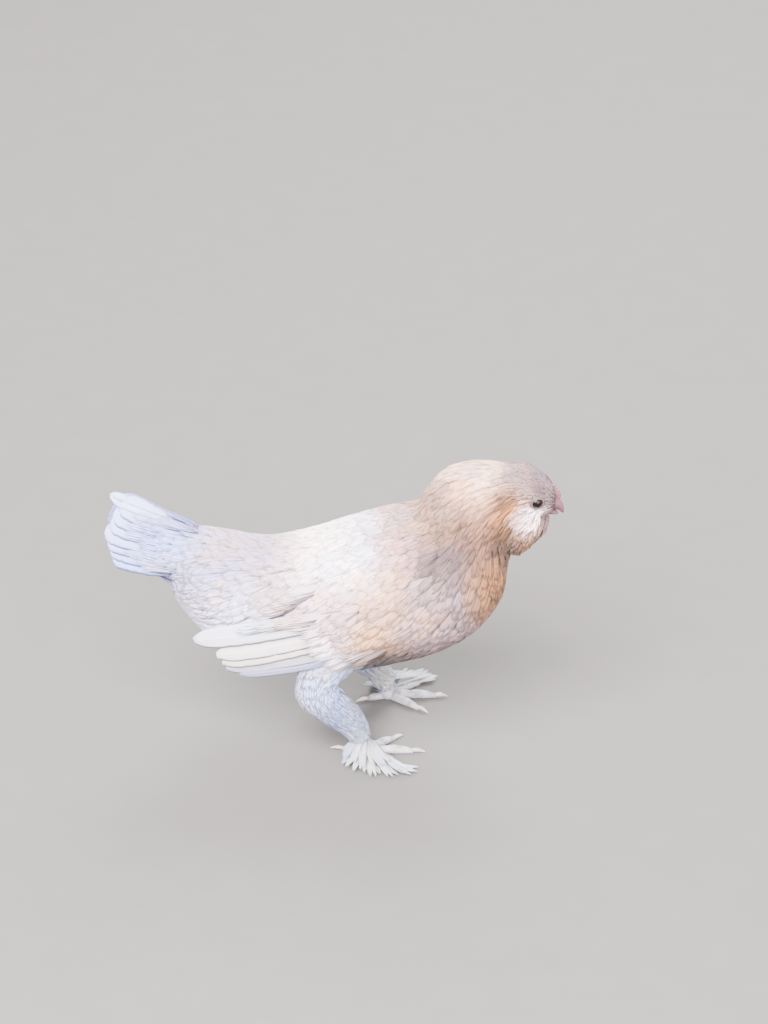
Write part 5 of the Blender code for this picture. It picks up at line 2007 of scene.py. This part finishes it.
@dataclass
class Foot:
    """One foot: four scaly toes, the sole, the claws and the feathers of its outer side."""

    side: Side
    foot_x: float = 0.9
    leg_y: float = 3.1
    sole_radius: float = 0.48
    sole_z: float = 0.39
    toes: dict[str, tuple[float, float, float]] = field(default_factory=lambda: {
        "middle": (0.0, 2.9, 0.30), "inner": (38.0, 2.3, 0.28),
        "outer": (-38.0, 2.4, 0.28), "hind": (165.0, 1.3, 0.26),
    })
    toe_rows: Rows = (
        (-0.08, 0.9, 1.0), (0.25, 1.0, 0.95), (0.45, 0.86, 0.95),
        (0.62, 0.95, 0.93), (0.84, 0.76, 0.93), (1.0, 0.5, 0.85),
    )
    claw_length: float = 0.75
    claw_share: float = 0.5
    claw_droop: float = 0.6
    claw_rows: Rows = (
        (-0.12, 0.75, 1.3), (0.03, 0.8, 1.35), (0.3, 0.9, 1.5), (0.6, 0.62, 1.2),
        (0.85, 0.32, 0.75), (1.0, 0.1, 0.4),
    )
    plume_turn: float = 7.0
    plume_half: tuple[float, float] = (0.2, 0.28)
    plume_bulge: float = 0.7
    plume_tiers: Rows = (
        ((140.0, -0.1, 1.6), (46.0, 0.35, 1.9), 13, (0.95, 0.35)),
        ((128.0, -0.05, 2.0), (34.0, 0.75, 1.9), 16, (0.4, 0.12)),
        ((96.0, 0.1, 2.1), (22.0, 0.95, 1.5), 12, (0.12, 0.04)),
    )

    def line(self, toe: str) -> tuple[np.ndarray, np.ndarray]:
        """Start and heading of a toe, in centimetres.

        Args:
            toe: The toe's name.

        Returns:
            The start and the heading.
        """
        angle = math.radians(-self.side.value * self.toes[toe][0])
        start = np.array([self.foot_x + STEP[self.side], self.side.value * self.leg_y, 0.0])
        return start, np.array([math.cos(angle), math.sin(angle), 0.0])

    def tube(
        self, bm: bmesh.types.BMesh, start: np.ndarray, ahead: np.ndarray, rows: np.ndarray,
        sides: int, droop: float = 0.0,
    ) -> None:
        """Adds a closed tube that lies on the floor.

        Args:
            bm: The bmesh that takes it.
            start: Where it starts, in centimetres.
            ahead: Its heading.
            rows: Distance along, radius and height of the middle for each section.
            sides: Points round a section.
            droop: How steeply its end turns down.
        """
        across = np.cross([0.0, 0.0, 1.0], ahead)
        loops = []
        for i, (reach, radius, high) in enumerate(rows):
            heading = unit(ahead - np.array([0, 0, droop * i / (len(rows) - 1)]))
            up = np.cross(heading, across)
            turn = Matrix((across, up, heading)).transposed().to_4x4()
            spot = Matrix.Translation(BODY.place(start + ahead * reach + np.array([0, 0, high])))
            made = bmesh.ops.create_circle(
                bm, segments=sides, radius=radius * CM, matrix=spot @ turn
            )
            loops.append(made["verts"])
        join_loops(bm, loops)

    def toe_sections(self, toe: str, scutes: int) -> np.ndarray:
        """Sections of a toe, swollen where each scute overlaps the next.

        Args:
            toe: The toe's name.
            scutes: How many scutes lie along it.

        Returns:
            Distance along, radius and height of the middle for each section.
        """
        _, length, radius = self.toes[toe]
        table = np.array(self.toe_rows)
        count = scutes * 4
        t = np.linspace(table[0, 0], table[-1, 0], count)
        share = np.interp(t, table[:, 0], table[:, 1])
        lift = np.interp(t, table[:, 0], table[:, 2])
        phase = (np.arange(count) % 4) / 3.0
        size = radius * share * (0.93 + 0.07 * np.sin(phase * math.pi * 0.75))
        return np.stack([t * length, size, np.minimum(radius * share * lift, size)], axis=1)

    def build(self) -> list[bpy.types.Object]:
        """Builds toes, claws and foot feathers.

        Returns:
            The pieces.
        """
        bm = bmesh.new()
        for toe in self.toes:
            start, ahead = self.line(toe)
            scutes = 14 if toe == "middle" else 11 if toe != "hind" else 7
            self.tube(bm, start, ahead, self.toe_sections(toe, scutes), 16)
        start, _ = self.line("middle")
        middle = BODY.place(start + np.array([0, 0, self.sole_z + 0.02]))
        bmesh.ops.create_uvsphere(
            bm, u_segments=20, v_segments=12, radius=self.sole_radius * CM,
            matrix=Matrix.Translation(middle),
        )
        floor = float(BODY.origin[2])
        for vertex in bm.verts:
            vertex.co.z = max(vertex.co.z, floor)
        bmesh.ops.recalc_face_normals(bm, faces=bm.faces)
        toes = new_object(f"toes_{self.side.word}", bm)
        finish = HornFinish(
            f"toes_{self.side.word}_finish", linear(168, 166, 172), linear(116, 112, 116), 0.5
        )
        toes.data.materials.append(finish.make())
        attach(toes, "root")
        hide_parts(f"foot_{self.side.word}")
        return [toes, *self.claws(), *self.feathers()]

    def claws(self) -> list[bpy.types.Object]:
        """Builds the four claws.

        Returns:
            The claws.
        """
        finish = HornFinish(
            f"claw_{self.side.word}_finish", linear(196, 180, 172), linear(140, 122, 116)
        ).make()
        pieces = []
        for toe, (_, length, radius) in self.toes.items():
            start, ahead = self.line(toe)
            size = radius * self.claw_share
            rows = np.array([
                (length + row[0] * self.claw_length, size * row[1], size * row[2])
                for row in self.claw_rows
            ])
            bm = bmesh.new()
            self.tube(bm, start, ahead, rows, 14, self.claw_droop)
            bmesh.ops.recalc_face_normals(bm, faces=bm.faces)
            claw = new_object(f"claw_horn_{self.side.word}_{toe}", bm)
            claw.data.materials.append(finish)
            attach(claw, "root")
            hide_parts(f"claw_{self.side.word}_{toe}")
            pieces.append(claw)
        return pieces

    def feathers(self) -> list[bpy.types.Object]:
        """Fans feathers out from the outer side of the foot.

        Returns:
            The pieces.
        """
        draw = np.random.default_rng(81 + self.side.value)
        # The default edge of 0.03 paints a faint highlight along the rims of the foot feathers.
        quills = Quills(
            f"foot_feathers_{self.side.word}", "leg_feathers",
            FeatherFinish(f"foot_feathers_{self.side.word}_finish", 200.0, 0.5, 0.4, 0.5),
            (0.56 if self.side is Side.RIGHT else 0.94, 0.0, 0.05, 0.018),
        )
        start, ahead = self.line("outer")
        length = self.toes["outer"][1]

        def place(x: np.ndarray, y: np.ndarray, lift: np.ndarray) -> np.ndarray:
            """A point over the floor."""
            return np.stack([x, y, 0.2 + np.asarray(lift)], axis=-1)

        for first, last, count, lifts in self.plume_tiers:
            for i in range(count):
                share = i / (count - 1)
                heading, along, reach = between((first, last), share)
                root = start + ahead * length * along
                angle = math.radians(heading + draw.uniform(-self.plume_turn, self.plume_turn))
                reach += self.plume_bulge * math.sin(share * math.pi)
                reach *= draw.uniform(0.8, 1.05)
                run = np.array([math.cos(angle), self.side.value * math.sin(angle), 0])
                tip = root + run * reach
                quills.add(
                    place, root[:2], tip[:2], draw.uniform(*self.plume_half), lifts,
                    0.03 * self.side.value, 0.12 * self.side.value, BARB,
                )
        return quills.build()


# The stage

@dataclass
class Stage:
    """Camera, floor and soft studio light."""

    aim: tuple[float, float, float] = (0.0, 0.0, 9.0)
    distance: float = 2.0
    elevation: float = 30.0
    focal_pixels: float = 3420.0
    frame: tuple[int, int] = (768, 1024)
    aim_pixel: tuple[float, float] = (347.0, 594.5)
    sensor: float = 36.0
    floor_size: float = 6.0
    lights: Rows = (
        ("key_light", (-0.6, -1.4, 1.8), 2.0, 480.0, (1.0, 0.98, 0.97)),
        ("fill_light", (1.2, -1.8, 0.8), 1.8, 110.0, (1.0, 0.98, 0.98)),
        ("back_light", (0.4, 1.6, 1.6), 1.4, 150.0, (1.0, 0.98, 0.99)),
    )
    sky: tuple[float, float, float, float] = (0.9, 0.87, 0.9, 1.0)
    sky_strength: float = 2.3

    def camera(self) -> bpy.types.Object:
        """Sets the camera where the aimed point falls on its pixel.

        Returns:
            The camera.
        """
        data = bpy.data.cameras.new("camera")
        data.sensor_width = self.sensor
        data.lens = self.focal_pixels / self.frame[1] * self.sensor
        data.clip_start, data.clip_end = 0.1, 20.0
        camera = bpy.data.objects.new("camera", data)
        bpy.context.scene.collection.objects.link(camera)
        rise = math.radians(self.elevation)
        back = Vector((0, -math.cos(rise), math.sin(rise)))
        up = Vector((0, math.sin(rise), math.cos(rise)))
        aim = Vector(BODY.place(self.aim))
        scale = self.distance / self.focal_pixels
        aside = (self.frame[0] / 2 - self.aim_pixel[0]) * scale
        above = (self.aim_pixel[1] - self.frame[1] / 2) * scale
        target = aim + Vector((1, 0, 0)) * aside + up * above
        camera.location = aim + back * self.distance
        look_at(camera, target)
        bpy.context.scene.camera = camera
        return camera

    def floor(self) -> bpy.types.Object:
        """Lays the floor."""
        bm = bmesh.new()
        bmesh.ops.create_grid(bm, x_segments=1, y_segments=1, size=self.floor_size)
        floor = new_object("floor", bm, smooth=False)
        floor.data.materials.append(FloorFinish().make())
        return floor

    def light(self, name: str, spot: Colour, size: float, power: float, colour: Colour) -> None:
        """Adds one soft light that looks at the bird.

        Args:
            name: The light's name.
            spot: Its place in metres.
            size: Its width in metres.
            power: Its power in watts.
            colour: Its colour.
        """
        data = bpy.data.lights.new(name, "AREA")
        data.shape = "DISK"
        data.size = size
        data.energy = power
        data.color = colour
        lamp = bpy.data.objects.new(name, data)
        bpy.context.scene.collection.objects.link(lamp)
        lamp.location = spot
        look_at(lamp, Vector((0, 0, 0.1)))

    def build(self) -> None:
        """Builds the stage."""
        self.camera()
        self.floor()
        for light in self.lights:
            self.light(*light)
        world = bpy.data.worlds.new("studio")
        world.use_nodes = True
        sky = world.node_tree.nodes["Background"]
        sky.inputs["Color"].default_value = self.sky
        sky.inputs["Strength"].default_value = self.sky_strength
        bpy.context.scene.world = world


COAT_FINISHES = {
    "coat_body": ("body_finish", 30.0), "coat_rump": ("rump_finish", 30.0),
    "coat_wing": ("wing_coat_finish", 30.0), "coat_hackle": ("hackle_finish", 30.0),
    "coat_head": ("head_finish", 15.0), "coat_beard": ("beard_finish", 20.0),
    "coat_legs": ("leg_finish", 20.0),
}


def dress(pieces: list[bpy.types.Object]) -> None:
    """Gives each piece of the coat the finish of its kind.

    Args:
        pieces: The pieces of the coat.
    """
    # The default edge of 0.03 paints a faint highlight along the rims of the small feathers.
    made = {
        key: FeatherFinish(name, barbs, slant=0.3, shaft=0.0, relief=0.2).make()
        for key, (name, barbs) in COAT_FINISHES.items()
    }
    for piece in pieces:
        key = next(key for key in made if piece.name.startswith(key))
        piece.data.materials.append(made[key])


def main() -> None:
    """Builds the looks of the whole bird."""
    logging.basicConfig(level=logging.INFO, format="%(message)s")
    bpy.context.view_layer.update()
    regions = body_regions()
    skin = Skin(regions).build()
    log.info("skin: %d faces", len(skin.data.polygons))
    coat = Coat(skin, regions).build()
    dress(coat)
    for side in Side:
        Wing(side).build()
        Eye(side).build()
        Foot(side).build()
    Tail().build()
    Bill().build()
    Comb().build()
    Stage().build()


if __name__ == "__main__":
    main()
